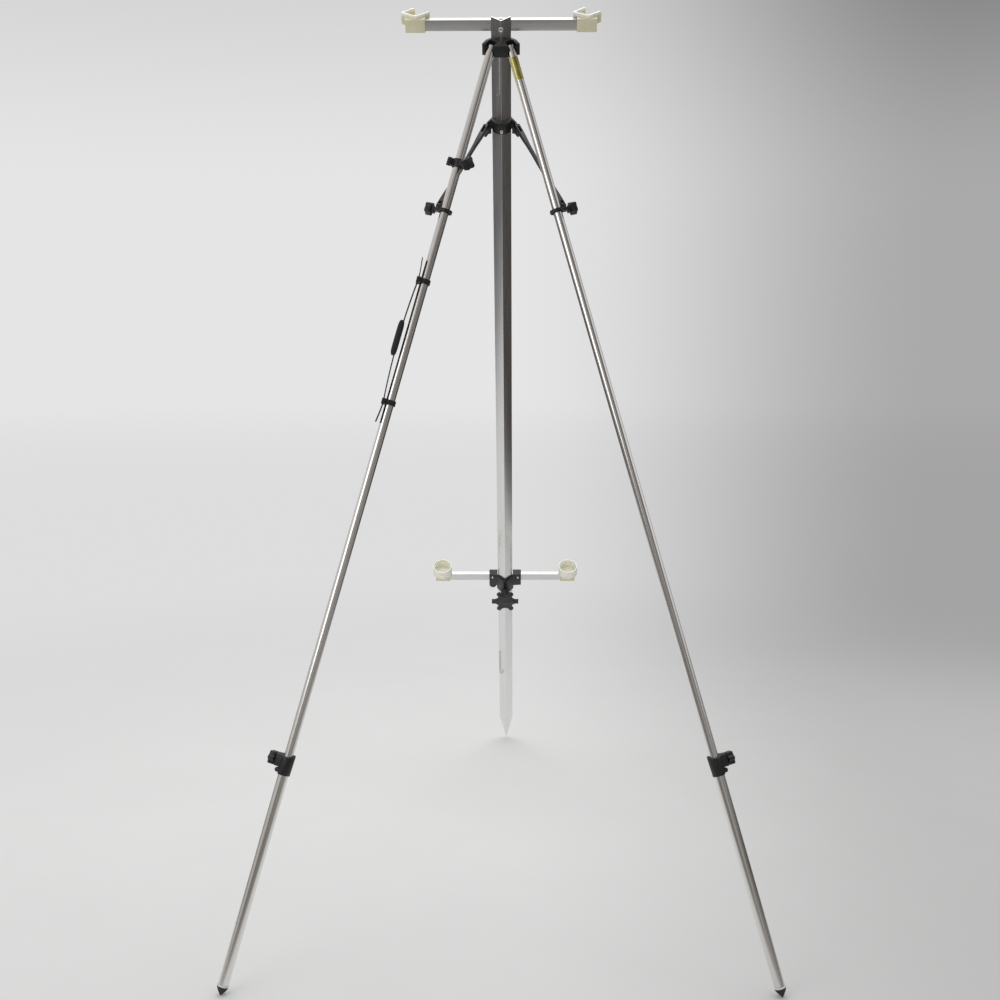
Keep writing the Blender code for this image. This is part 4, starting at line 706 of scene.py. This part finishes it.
# ---- Legs ----
# Outer and inner radius of each tube.
UPPER_TUBE = (0.0078, 0.0066)
LOWER_TUBE = (0.0091, 0.0079)
RIM = 0.00035
FILM_TOP = -0.018
FILM_THICKNESS = 0.00012
FILM_LIFT = 0.00004
FILM_REACH = math.radians(120)


def round_tube_grid(outer, inner, top, bottom):
    """A round tube from a closed profile: up the outer wall, over a chamfered rim, and down the bore."""
    length = top - bottom
    rise = bottom + np.array([RIM, 0.25 * length, 0.5 * length, 0.75 * length, length - RIM])
    radii = [outer - RIM] + [outer] * 5 + [outer - RIM, inner + RIM / 3] + [inner] * 5 + [inner + RIM / 3]
    return turned_grid(radii, np.concatenate([[bottom], rise, [top, top], rise[::-1], [bottom]]))


def film_grid(radius, top, height, steps=48):
    """A thin wrap on a tube: an arc of the tube's front, pushed out by the film's thickness."""
    angle = -math.pi / 2 + np.linspace(-FILM_REACH, FILM_REACH, steps)[:, None]
    thick = FILM_THICKNESS
    radii = radius + np.array([FILM_LIFT, thick, thick, FILM_LIFT])[None]
    return polar(radii, angle, np.array([top - height, top - height + thick, top - thick, top])[None])


class TRIPOD_OT_legs(bpy.types.Operator):
    """Build both telescopic legs, their top plugs and the bare film band on the right one"""

    bl_idname = "tripod.legs"
    bl_label = "Telescopic Legs"

    def execute(self, context):
        finish, sizes, _ = settings()
        plug = moulded_plastic("Leg Plug Plastic", finish.black, None, 0.50)
        for side in SIDES:
            place = LEGS[side]
            metal = drawn_metal(f"Leg Aluminium {side}", finish.aluminium, place, finish.polish, 0.8, 0.45)
            for name, radii in ((f"upper_leg_{side}", UPPER_TUBE), (f"lower_leg_{side}", LOWER_TUBE)):
                low, high = local_span(name, place)
                grid = round_tube_grid(*radii, high[2], low[2])
                shown(f"{name}_tube", grid, place, metal, name, wrap_u=True, wrap_v=True)
            dress(f"leg_top_plug_{side}", plug)
        place = LEGS["right"]
        film = plain_film("Film Band", place, finish.film)
        grid = film_grid(UPPER_TUBE[0], FILM_TOP, sizes.film_width)
        shown("film_band", grid, place, film, body="leg_right", slot="pale", wrap_v=True, cap_u=ENDS)
        return {"FINISHED"}


# ---- Strap and grip ----
# Places along the leg, counted down from its hinge, and the strap's distance from the leg's middle at them.
STRAP_TOP = 0.3930
STRAP_BOTTOM = 0.690
BAND_UPPER = 0.432
BAND_LOWER = 0.652
GRIP_AT = 0.539
STRAP_AT_BAND = 0.0114
STRAP_BOW = 0.0165
STRAP_TAIL = 0.0150
STRAP_WIDTH = 0.022
# The webbing stays this far inside the packed strap at its ends and edges.
STRAP_INSET = 0.0004
# Width of the selvedge, and how much thicker than the rest it is.
SELVEDGE = 0.0022
SELVEDGE_SWELL = 0.12
# Length of strap that one unit of its UV stands for.
STRAP_UV_LENGTH = 0.3
GRIP_LENGTH = 0.063
GRIP_THICKNESS = 0.011
GRIP_OVERHANG = 0.0025
GRIP_SQUARENESS = 3.2
GROOVES_EACH_WAY = 13
GROOVE_DEPTH = 0.035
STITCH_ROW_AT = 0.006
STITCH_ACROSS = np.arange(-0.0085, 0.0086, 0.0017)
STITCH_HALF = 0.0006
STITCH_RADIUS = 0.00022
STITCH_LIFT = 0.00005


def strap_offset(at):
    """How far the strap stands off the leg: a bow between its bands, and tails that flare past them."""
    above = np.clip((BAND_UPPER - at) / (BAND_UPPER - STRAP_TOP), 0, 1)
    below = np.clip((at - BAND_LOWER) / (STRAP_BOTTOM - BAND_LOWER), 0, 1)
    between = np.clip((at - BAND_UPPER) / (BAND_LOWER - BAND_UPPER), 0, 1)
    tails = (STRAP_TAIL - STRAP_AT_BAND) * (above**1.5 + below**1.5)
    return STRAP_AT_BAND + tails + (STRAP_BOW - STRAP_AT_BAND) * np.sin(math.pi * between) ** 0.8


def strap_grid(thickness, steps=110):
    """Webbing carried along its bow: a flat round-edged section, square to the path at each station.

    The section's edge swells a little, as a selvedge does, and its UV runs round it and along the path.
    """
    at = np.linspace(STRAP_TOP + STRAP_INSET, STRAP_BOTTOM - STRAP_INSET, steps)
    path = np.column_stack([strap_offset(at), -at])
    tangent = np.gradient(path, axis=0)
    tangent /= np.linalg.norm(tangent, axis=1, keepdims=True)
    x = STRAP_WIDTH / 2 - STRAP_INSET
    y = thickness / 2
    line = np.linspace(-1, 1, 15) * (x - y)
    low, high = (np.column_stack([side * line, np.full(15, -side * y)]) for side in (1, -1))
    turn = np.linspace(-math.pi / 2, math.pi / 2, 7)[1:-1]
    cap = np.column_stack([x - y + y * np.cos(turn), y * np.sin(turn)])
    across, off = np.concatenate([low, cap, high, -cap]).T[:, :, None]
    off = off * (1 + SELVEDGE_SWELL * (np.abs(across) > x - SELVEDGE))
    out = path[:, 0] - off * tangent[:, 1]
    up = path[:, 1] + off * tangent[:, 0]
    run = np.concatenate([[0], np.cumsum(np.linalg.norm(np.diff(path, axis=0), axis=1))])
    uv = np.stack(np.broadcast_arrays(across / STRAP_WIDTH + 0.5, run[None] / STRAP_UV_LENGTH), -1)
    return np.stack(np.broadcast_arrays(out, across, up), -1), uv


def grip_grid(rings=64, steps=48):
    """A moulded grip: a superellipse section whose size falls off at both ends as a rounded pillow does.

    Shallow grooves across it repeat along its middle, and it stands straight where the strap bows out most.
    """
    share = np.linspace(-1, 1, rings)
    full = (1 - np.abs(share) ** 6) ** (1 / 3)
    full[[0, -1]] = 0.04
    grooves = 1 - GROOVE_DEPTH * (np.cos(share * math.pi * GROOVES_EACH_WAY) ** 8) * (np.abs(share) < 0.8)
    circle = (np.cos(around(steps)), np.sin(around(steps)))
    x, y = (np.sign(c) * np.abs(c) ** (2 / GRIP_SQUARENESS) for c in circle)
    half = GRIP_THICKNESS / 2
    centre = strap_offset(GRIP_AT) + half * 0.35
    out = centre + x * half * full * grooves
    across = y * (STRAP_WIDTH / 2 + GRIP_OVERHANG) * (0.55 + 0.45 * full) * full**0.15
    return np.stack(np.broadcast_arrays(out, across, -(GRIP_AT + share * GRIP_LENGTH / 2)), -1)


def stitch_grid(start, end, radius, steps=10, sides=6):
    """One raised stitch: a thin round bar that sinks at both ends."""
    start, end = np.asarray(start, float), np.asarray(end, float)
    share = np.linspace(0, 1, steps)
    size = radius * np.sqrt(np.clip(1 - (2 * share - 1) ** 2, 0.02, 1))
    along = unit(end - start)
    first = unit(np.cross(along, (0.3, 0.1, 1.0)))
    turn = around(sides)[..., None]
    ring = np.cos(turn) * first + np.sin(turn) * np.cross(along, first)
    return start + (end - start) * share[None, :, None] + ring * size[None, :, None]


class TRIPOD_OT_strap(bpy.types.Operator):
    """Build the webbing strap, its stitches, its grip and its two bands"""

    bl_idname = "tripod.strap"
    bl_label = "Carry Strap"

    def execute(self, context):
        finish, sizes, _ = settings()
        closed = {"wrap_u": True, "cap_v": ENDS}
        grid, uv = strap_grid(sizes.strap)
        webbing = woven_webbing("Strap Webbing")
        shown("strap_webbing", grid, STRAP, webbing, "carry_strap", 50.0, uv=uv, **closed)
        grip = moulded_plastic("Grip Rubber", finish.grip, STRAP, 0.72, 3.0, 0.05, 0.3)
        shown("strap_grip", grip_grid(), STRAP, grip, "strap_slider", 45.0, **closed)
        rows = []
        for at in (STRAP_TOP + STITCH_ROW_AT, STRAP_BOTTOM - STITCH_ROW_AT):
            out = float(strap_offset(at)) + sizes.strap / 2 + STITCH_LIFT
            for across in STITCH_ACROSS:
                start, end = ((out, across + reach, -at) for reach in (-STITCH_HALF, STITCH_HALF))
                rows.append(stitch_grid(start, end, STITCH_RADIUS))
        thread = woven_webbing("Strap Thread", 60.0, 60.0)
        shown("strap_stitches", np.stack(rows), STRAP, thread, None, 60.0, "leg_left", "webbing", **closed)
        band = moulded_plastic("Band Plastic", finish.black, None, 0.42)
        for node in ("strap_band_upper", "strap_band_lower"):
            softened(node, band, sizes.edge * 0.8)
        return {"FINISHED"}


# ---- Moulded fittings ----
class TRIPOD_OT_fittings(bpy.types.Operator):
    """Round the edges of the collar, the hub, the struts, the clamps, the locks and the bracket"""

    bl_idname = "tripod.fittings"
    bl_label = "Moulded Fittings"

    def execute(self, context):
        finish, sizes, _ = settings()
        body = moulded_plastic("Fitting Plastic", finish.black, POST, 0.40, 0.8)
        for node in ("top_collar", "spreader_hub", "lower_bracket", "accessory_clamp"):
            softened(node, body, sizes.edge)
        for side in SIDES:
            link = moulded_plastic(f"Strut Plastic {side}", finish.black, LEGS[side], 0.42, 0.8)
            for node in (f"strut_{side}", f"strut_clamp_{side}", f"leg_lock_{side}"):
                softened(node, link, sizes.edge * 0.8)
        return {"FINISHED"}


class TRIPOD_OT_knobs(bpy.types.Operator):
    """Round the edges of every hand knob"""

    bl_idname = "tripod.knobs"
    bl_label = "Hand Knobs"

    def execute(self, context):
        finish, sizes, _ = settings()
        grip = moulded_plastic("Knob Plastic", finish.black, None, 0.34, 0.6, 0.16)
        names = ["star_knob", "bar_thumb_knob", "accessory_knob"]
        names += [f"{kind}_{side}" for kind in ("leg_lock_knob", "strut_clamp_knob") for side in SIDES]
        for node in names:
            softened(node, grip, sizes.edge)
        return {"FINISHED"}


class TRIPOD_OT_rests(bpy.types.Operator):
    """Round the edges of the rod rests and the butt cups"""

    bl_idname = "tripod.rests"
    bl_label = "Rests and Cups"

    def execute(self, context):
        finish, sizes, _ = settings()
        for kind, which, place in (("rod_rest", "upper", UPPER_BAR), ("butt_cup", "lower", LOWER_BAR)):
            cream = glow_plastic(f"Cream Plastic {which}", finish.cream, place)
            for side in SIDES:
                softened(f"{kind}_{side}", cream, sizes.edge * 1.2)
        return {"FINISHED"}


# ---- Fasteners ----
THREAD_RADIUS = 0.00285
THREAD_DEPTH = 0.00045
THREAD_PITCH = 0.0008
# The thread runs between these distances from the bolt's end.
THREAD_RUN = (0.0065, 0.0001)


def thread_grid(low, high, sides=36):
    """A screw thread: the radius rises and falls with height over pitch less the turn, as a rounded vee."""
    height = np.linspace(low, high, int((high - low) / THREAD_PITCH * 10))[None]
    angle = around(sides)
    phase = height / THREAD_PITCH - angle / (2 * math.pi)
    vee = np.abs(2 * (phase - np.floor(phase)) - 1)
    runout = np.clip((high - height) / (2 * THREAD_PITCH), 0, 1)
    return polar(THREAD_RADIUS + THREAD_DEPTH * ((vee - 1) * runout - (1 - runout)), angle, height)


class TRIPOD_OT_fasteners(bpy.types.Operator):
    """Set the finish of bolts, pins, screws and hooks, and cut the thread on the bolt behind the wing nut"""

    bl_idname = "tripod.fasteners"
    bl_label = "Fasteners and Hooks"

    def execute(self, context):
        finish, sizes, _ = settings()
        bright = finish.steel
        bolt = node_frame("crossbar_bolt", (1, 0, 0), BAR_BACK)
        steel = bright_steel("Bolt Steel", bolt, bright)
        softened("crossbar_bolt", steel, sizes.edge * 0.6)
        softened("crossbar_wing_nut", steel, sizes.edge * 0.8)
        end = local_span("crossbar_bolt", bolt)[1][2]
        grid = thread_grid(*(end - short for short in THREAD_RUN))
        threaded = {"body": "base", "slot": "steel", "wrap_u": True, "cap_v": ENDS}
        shown("crossbar_bolt_thread", grid, bolt, steel, sharp=60.0, **threaded)
        dress("pressure_pad", moulded_plastic("Pad Plastic", finish.pale, POST, 0.5, 1.0, 0.3))
        turned = [("hub_screw", "Hub Screw Steel", (1, 0, 0), BAR_BACK)]
        for side in SIDES:
            across = LEGS[side][:3, 0]
            for node in (f"leg_pin_{side}", f"strut_pin_{side}", f"clamp_pin_{side}"):
                turned.append((node, f"Pin Steel {node}", BAR_TILT, across))
            turned.append((f"bar_screw_{side}", f"Screw Steel {side}", (1, 0, 0), BAR_BACK))
        for node, name, x_axis, z_axis in turned:
            dress(node, bright_steel(name, node_frame(node, x_axis, z_axis), bright))
        wire = bright_steel("Hook Wire", POST, [0.8 * c for c in bright], 0.28, 300.0, 0.7)
        for node in ("bag_hook_upper", "bag_hook_lower"):
            dress(node, wire)
        return {"FINISHED"}


# ---- Feet ----
FOOT_POINT = 0.0022
FOOT_CONE_SWELL = 0.10
FOOT_LIP = 0.0012
FOOT_RING = 0.0032
# The foot stands this far out past the tube, and the ring this far in from the foot.
FOOT_STEP = 0.0006
RING_STEP = 0.0001


def foot_profile(low, high, wide):
    """A pointed tip in (radius, height): a rounded end, a cone that swells a little outwards, and a lip."""
    share = np.linspace(0, 1, 9)
    end_height = FOOT_POINT * 0.8
    cone = FOOT_POINT + (wide - FOOT_POINT) * (share + FOOT_CONE_SWELL * np.sin(math.pi * share))
    rise = low + end_height + (high - low - end_height - FOOT_LIP) * share
    turn = np.linspace(0.15, math.pi / 2, 5)[:-1]
    radii = np.concatenate([FOOT_POINT * np.sin(turn), cone, [wide, wide - FOOT_STEP]])
    return radii, np.concatenate([low + end_height * (1 - np.cos(turn)), rise, [high - 0.0004, high]])


class TRIPOD_OT_feet(bpy.types.Operator):
    """Build the pointed rubber tips and the pale rings above them"""

    bl_idname = "tripod.feet"
    bl_label = "Feet"

    def execute(self, context):
        finish, _, _ = settings()
        for side in SIDES:
            place = LEGS[side]
            tube = local_points(f"lower_leg_{side}", place)
            wide = float(np.hypot(tube[:, 0], tube[:, 1]).max()) + FOOT_STEP
            tip_low = local_span(f"foot_tip_{side}", place)[0][2]
            seam = local_span(f"foot_ring_{side}", place)[1][2] - FOOT_RING
            ring_radii = wide - RING_STEP - np.array([0.0005, 0.0, 0.0, 0.0005])
            ring_heights = seam + FOOT_RING * np.array([0.0, 0.12, 0.88, 1.0])
            rubber = black_rubber(f"Foot Rubber {side}", place)
            ring = moulded_plastic(f"Ring Plastic {side}", finish.pale, place, 0.5, 1.0, 0.3)
            for node, material, profile in (
                (f"foot_tip_{side}", rubber, foot_profile(tip_low, seam, wide)),
                (f"foot_ring_{side}", ring, (ring_radii, ring_heights)),
            ):
                grid = turned_grid(*profile, 48)
                shown(f"{node}_shown", grid, place, material, node, 40.0, wrap_u=True, cap_v=ENDS)
        return {"FINISHED"}


# ---- Studio ----
# The camera's place before it is turned about Z, and how far the turning point lies in front of the origin.
CAMERA_HEIGHT = 1.0834
CAMERA_BACK = 2.1312
CAMERA_PITCH = math.radians(6.599)
CAMERA_ROLL = math.radians(0.105)
CAMERA_TURN = math.radians(0.625)
FRAME_SHIFT = 0.7428
SENSOR_WIDTH = 36.0
FLOOR_RADIUS = 150.0
FLOOR_EYE = 0.02

# Each lamp's place, the point it is aimed at, and its width and height.
KEY_LAMP = ((-1.85, -2.55, 1.72), (0.0, -0.4, 1.05), (1.75, 1.3))
TOP_LAMP = ((0.0, 0.5, 3.7), (0.0, 0.3, 0.0), (3.2, 3.2))

# The near floor darkens to the right and towards the camera: a run in metres, and its shares of the colour.
SHADE_ACROSS = (-0.1, 1.1, 1.0, 0.70)
SHADE_DEPTH = (-1.1, 0.1, 0.92, 1.0)
# Over this run of distance the camera sees the floor take on the backdrop's own tone.
FLOOR_FAR = (0.5, 3.5)

# Colours of the backdrop, and the runs of direction over which it falls off to the right and to the top, as
# painted shade.
BACKDROP_LEFT = (0.785, 0.785, 0.79)
BACKDROP_RIGHT = (0.40, 0.40, 0.405)
BACKDROP_TOP_LEFT = (0.63, 0.63, 0.635)
BACKDROP_TOP_RIGHT = (0.20, 0.20, 0.205)
BACKDROP_SPAN = (-0.013, 0.305)
BACKDROP_AHEAD = (0.30, 0.80)
BACKDROP_TOP = (0.10, 0.30)
# On the floor the painted shade also falls off over this depth in metres, and its tone lifts with distance.
BACKDROP_DEPTH = (-0.5, 2.0)
BACKDROP_LIFT = (6.0, 24.0, 0.925, 1.0)
# The point on the floor below the camera, from which the floor's own directions are counted.
SWEEP_START = (0.0, -2.87, 0.0)

# What polished metal sees. The sweep is pale between these runs in metres, and the floor past it is dark.
PALE_LEFT = (-2.6, -1.3)
PALE_RIGHT = (0.75, 1.20)
PALE_FRONT = (-1.5, -0.75)
SIDE_FLOOR_LEFT = (0.090, 0.086, 0.086)
SIDE_FLOOR_RIGHT = (0.055, 0.050, 0.045)
FRONT_FLOOR_LEFT = (0.165, 0.155, 0.145)
FRONT_FLOOR_RIGHT = (0.27, 0.255, 0.24)
# Runs in metres over which those floors turn from left to right, and from the front one to the side one.
SIDE_RUN = (-0.5, 0.5)
FRONT_RUN = (-1.5, 2.0)
FRONT_TO_SIDE = (-0.9, 0.3)

# The room's levels along X, near eye level and above it. The upper room rises to white at the far right.
ROOM_TINT = (1.0, 0.95, 0.90)
ROOM_LOW = (
    (-0.75, 0.50), (-0.45, 0.25), (-0.10, 0.14), (0.12, 0.45), (0.50, 0.32), (0.70, 0.20), (0.95, 0.08)
)
ROOM_LOW_END = tuple(0.08 * c for c in ROOM_TINT)
ROOM_HIGH = ((-0.75, 0.60), (-0.30, 0.45), (-0.12, 0.32), (0.15, 0.40), (0.30, 0.14), (0.60, 0.07))
ROOM_HIGH_END = (1.0, 1.0, 1.0)
ROOM_BAND = (0.10, 0.28)
ROOM_AHEAD = (0.15, 0.70)


def floor_material(colour):
    """A pale seamless floor: faint mottling and a slow shade near the object, the backdrop's tone far away.

    Polished metal sees the pale sweep near the object, and a dark room floor past its edges.
    """
    look = Look("Studio Floor")
    spot = look.object_place()
    across, depth = (look.part_of(spot, axis) for axis in "XY")
    mottle = look.span(look.noise(spot, 3.0, 4.0, 0.6), 0.3, 0.7)
    toned = look.blend(mottle, [c * 0.985 for c in colour], [min(1.0, c * 1.01) for c in colour])
    shade = look.product(look.fade(across, *SHADE_ACROSS), look.fade(depth, *SHADE_DEPTH))
    base = look.blend(1.0, toned, shade, "MULTIPLY")
    look.finish(Base_Color=base, Roughness=0.9, Specular_IOR_Level=0.1)

    distance = look.add("ShaderNodeVectorMath", {0: spot}, operation="LENGTH").outputs["Value"]
    ray = look.add("ShaderNodeVectorMath", {0: spot, 1: SWEEP_START}, operation="SUBTRACT").outputs[0]
    way = look.add("ShaderNodeVectorMath", {0: ray}, operation="NORMALIZE").outputs[0]
    # Painted shade: the far floor's backdrop tone darkens to the right and with depth.
    painted_falloff = look.product(
        look.fade(look.part_of(way, "X"), *BACKDROP_SPAN),
        look.fade(look.part_of(way, "Y"), *BACKDROP_AHEAD),
        look.fade(depth, *BACKDROP_DEPTH),
    )
    tone = look.blend(painted_falloff, BACKDROP_LEFT, BACKDROP_RIGHT)
    plain = look.emission(look.blend(1.0, tone, look.fade(distance, *BACKDROP_LIFT), "MULTIPLY"))
    path = look.add("ShaderNodeLightPath").outputs
    far = look.product(look.fade(distance, *FLOOR_FAR), path["Is Camera Ray"])
    seen = look.mix_shader(far, look.shader.outputs[0], plain)

    not_pale = look.span(
        look.product(
            look.fade(across, *PALE_LEFT),
            look.fade(across, *PALE_RIGHT, 1.0, 0.0),
            look.fade(depth, *PALE_FRONT),
        ),
        0.0, 1.0, 1.0, 0.0,
    )
    beside = look.blend(look.fade(across, *SIDE_RUN), SIDE_FLOOR_LEFT, SIDE_FLOOR_RIGHT)
    in_front = look.blend(look.fade(across, *FRONT_RUN), FRONT_FLOOR_LEFT, FRONT_FLOOR_RIGHT)
    dark = look.emission(look.blend(look.fade(depth, *FRONT_TO_SIDE), in_front, beside))
    shown_floor = look.mix_shader(look.product(not_pale, path["Is Glossy Ray"]), seen, dark)
    look.put(look.tree.nodes["Material Output"].inputs["Surface"], shown_floor)
    return look.material


def room_levels(sky, along, levels, far_end):
    """The room's level along X, from -1 to 1: a ramp of warm greys up to the colour of its far end."""
    node = sky.add("ShaderNodeValToRGB", {"Fac": sky.span(along, -1.0, 1.0)})
    stops = node.color_ramp.elements
    stops[-1].color = (*far_end, 1.0)
    for place, level in levels:
        stops.new((place + 1) / 2).color = (*(level * c for c in ROOM_TINT), 1.0)
    stops.remove(stops[0])
    return node.outputs["Color"]


def studio_world(strength):
    """Even light for the object, the pale backdrop where it is seen, and a room in reflections."""
    world = bpy.data.worlds.new("Studio")
    world.use_nodes = True
    world.node_tree.nodes.clear()
    sky = Nodes(world.node_tree)
    way = sky.add("ShaderNodeTexCoord").outputs["Generated"]
    x, y, z = (sky.part_of(way, axis) for axis in "XYZ")
    # Painted shade: the backdrop darkens to the right and towards the top.
    painted_falloff = sky.product(sky.fade(x, *BACKDROP_SPAN), sky.fade(y, *BACKDROP_AHEAD))
    level_part = sky.blend(painted_falloff, BACKDROP_LEFT, BACKDROP_RIGHT)
    top_part = sky.blend(painted_falloff, BACKDROP_TOP_LEFT, BACKDROP_TOP_RIGHT)
    backdrop = sky.blend(sky.fade(z, *BACKDROP_TOP), level_part, top_part)
    low = room_levels(sky, x, ROOM_LOW, ROOM_LOW_END)
    high = room_levels(sky, x, ROOM_HIGH, ROOM_HIGH_END)
    room = sky.blend(sky.fade(z, *ROOM_BAND), low, high)
    reflected = sky.blend(sky.fade(y, *ROOM_AHEAD), room, backdrop)
    path = sky.add("ShaderNodeLightPath").outputs
    camera_ray, glossy_ray = path["Is Camera Ray"], path["Is Glossy Ray"]
    seen = sky.blend(camera_ray, sky.blend(glossy_ray, (1.0, 1.0, 1.0), reflected), backdrop)
    level = sky.span(sky.fold("MAXIMUM", camera_ray, glossy_ray), 0.0, 1.0, strength, 1.0)
    background = sky.add("ShaderNodeBackground", {"Color": seen, "Strength": level}).outputs[0]
    sky.add("ShaderNodeOutputWorld", {"Surface": background})
    return world


def soft_light(name, place, target, size, power):
    """A large soft lamp aimed at a point."""
    lamp = bpy.data.lights.new(name, "AREA")
    lamp.shape = "RECTANGLE"
    lamp.size, lamp.size_y = size
    lamp.energy = power
    made = bpy.data.objects.new(name, lamp)
    bpy.context.scene.collection.objects.link(made)
    way = Vector(target) - Vector(place)
    made.matrix_world = Matrix.Translation(place) @ way.to_track_quat("-Z", "Y").to_matrix().to_4x4()


class TRIPOD_OT_studio(bpy.types.Operator):
    """Build the floor, the soft light, the pale backdrop and the camera"""

    bl_idname = "tripod.studio"
    bl_label = "Studio"

    def execute(self, context):
        _, _, studio = settings()
        radii = FLOOR_EYE + (FLOOR_RADIUS - FLOOR_EYE) * np.linspace(0, 1, 25)[None] ** 3
        mesh = surface("studio_floor", polar(radii, around(96), 0.0), wrap_u=True, cap_v=(0,))
        if mesh.polygons[0].normal.z < 0:
            mesh.flip_normals()
        floor = bpy.data.objects.new("studio_floor", mesh)
        context.scene.collection.objects.link(floor)
        mesh.materials.append(floor_material(tuple(studio.floor)))
        context.scene.world = studio_world(studio.sky)
        soft_light("Key Light", *KEY_LAMP, studio.key)
        soft_light("Top Light", *TOP_LAMP, studio.top)
        camera = bpy.data.cameras.new("Camera")
        camera.lens = studio.lens
        camera.sensor_width = SENSOR_WIDTH
        camera.dof.use_dof = False
        camera.clip_start = 0.05
        camera.clip_end = 500.0
        made = bpy.data.objects.new("Camera", camera)
        context.scene.collection.objects.link(made)
        place = Matrix.Rotation(CAMERA_TURN, 4, "Z") @ Matrix.Translation((0.0, -CAMERA_BACK, CAMERA_HEIGHT))
        tilt = Matrix.Rotation(math.pi / 2 - CAMERA_PITCH, 4, "X") @ Matrix.Rotation(-CAMERA_ROLL, 4, "Z")
        made.matrix_world = Matrix.Translation((0.0, -FRAME_SHIFT, 0.0)) @ place @ tilt
        context.scene.camera = made
        context.scene.view_settings.view_transform = "Standard"
        return {"FINISHED"}


# ---- Panel and registration ----
STEPS = (
    TRIPOD_OT_studio,
    TRIPOD_OT_post,
    TRIPOD_OT_crossbars,
    TRIPOD_OT_legs,
    TRIPOD_OT_strap,
    TRIPOD_OT_fittings,
    TRIPOD_OT_knobs,
    TRIPOD_OT_rests,
    TRIPOD_OT_fasteners,
    TRIPOD_OT_feet,
)
GROUPS = {"tripod_finish": TripodFinish, "tripod_sizes": TripodSizes, "tripod_studio": TripodStudio}


class TRIPOD_PT_main(bpy.types.Panel):
    """The tripod's settings and building steps"""

    bl_idname = "TRIPOD_PT_main"
    bl_label = "Surf Rod Tripod"
    bl_space_type = "VIEW_3D"
    bl_region_type = "UI"
    bl_category = "Tripod"

    def draw(self, context):
        for name, group in GROUPS.items():
            box = self.layout.box()
            box.label(text=group.__doc__)
            for key in group.__annotations__:
                box.prop(getattr(context.scene, name), key)
        for step in STEPS:
            self.layout.operator(step.bl_idname)


CLASSES = (*GROUPS.values(), *STEPS, TRIPOD_PT_main)


def register():
    for kind in CLASSES:
        bpy.utils.register_class(kind)
    for name, group in GROUPS.items():
        setattr(bpy.types.Scene, name, bpy.props.PointerProperty(type=group))


def unregister():
    for name in GROUPS:
        delattr(bpy.types.Scene, name)
    for kind in reversed(CLASSES):
        bpy.utils.unregister_class(kind)


def main():
    register()
    for step in STEPS:
        getattr(bpy.ops.tripod, step.bl_idname.split(".")[1])()


if __name__ == "__main__":
    main()
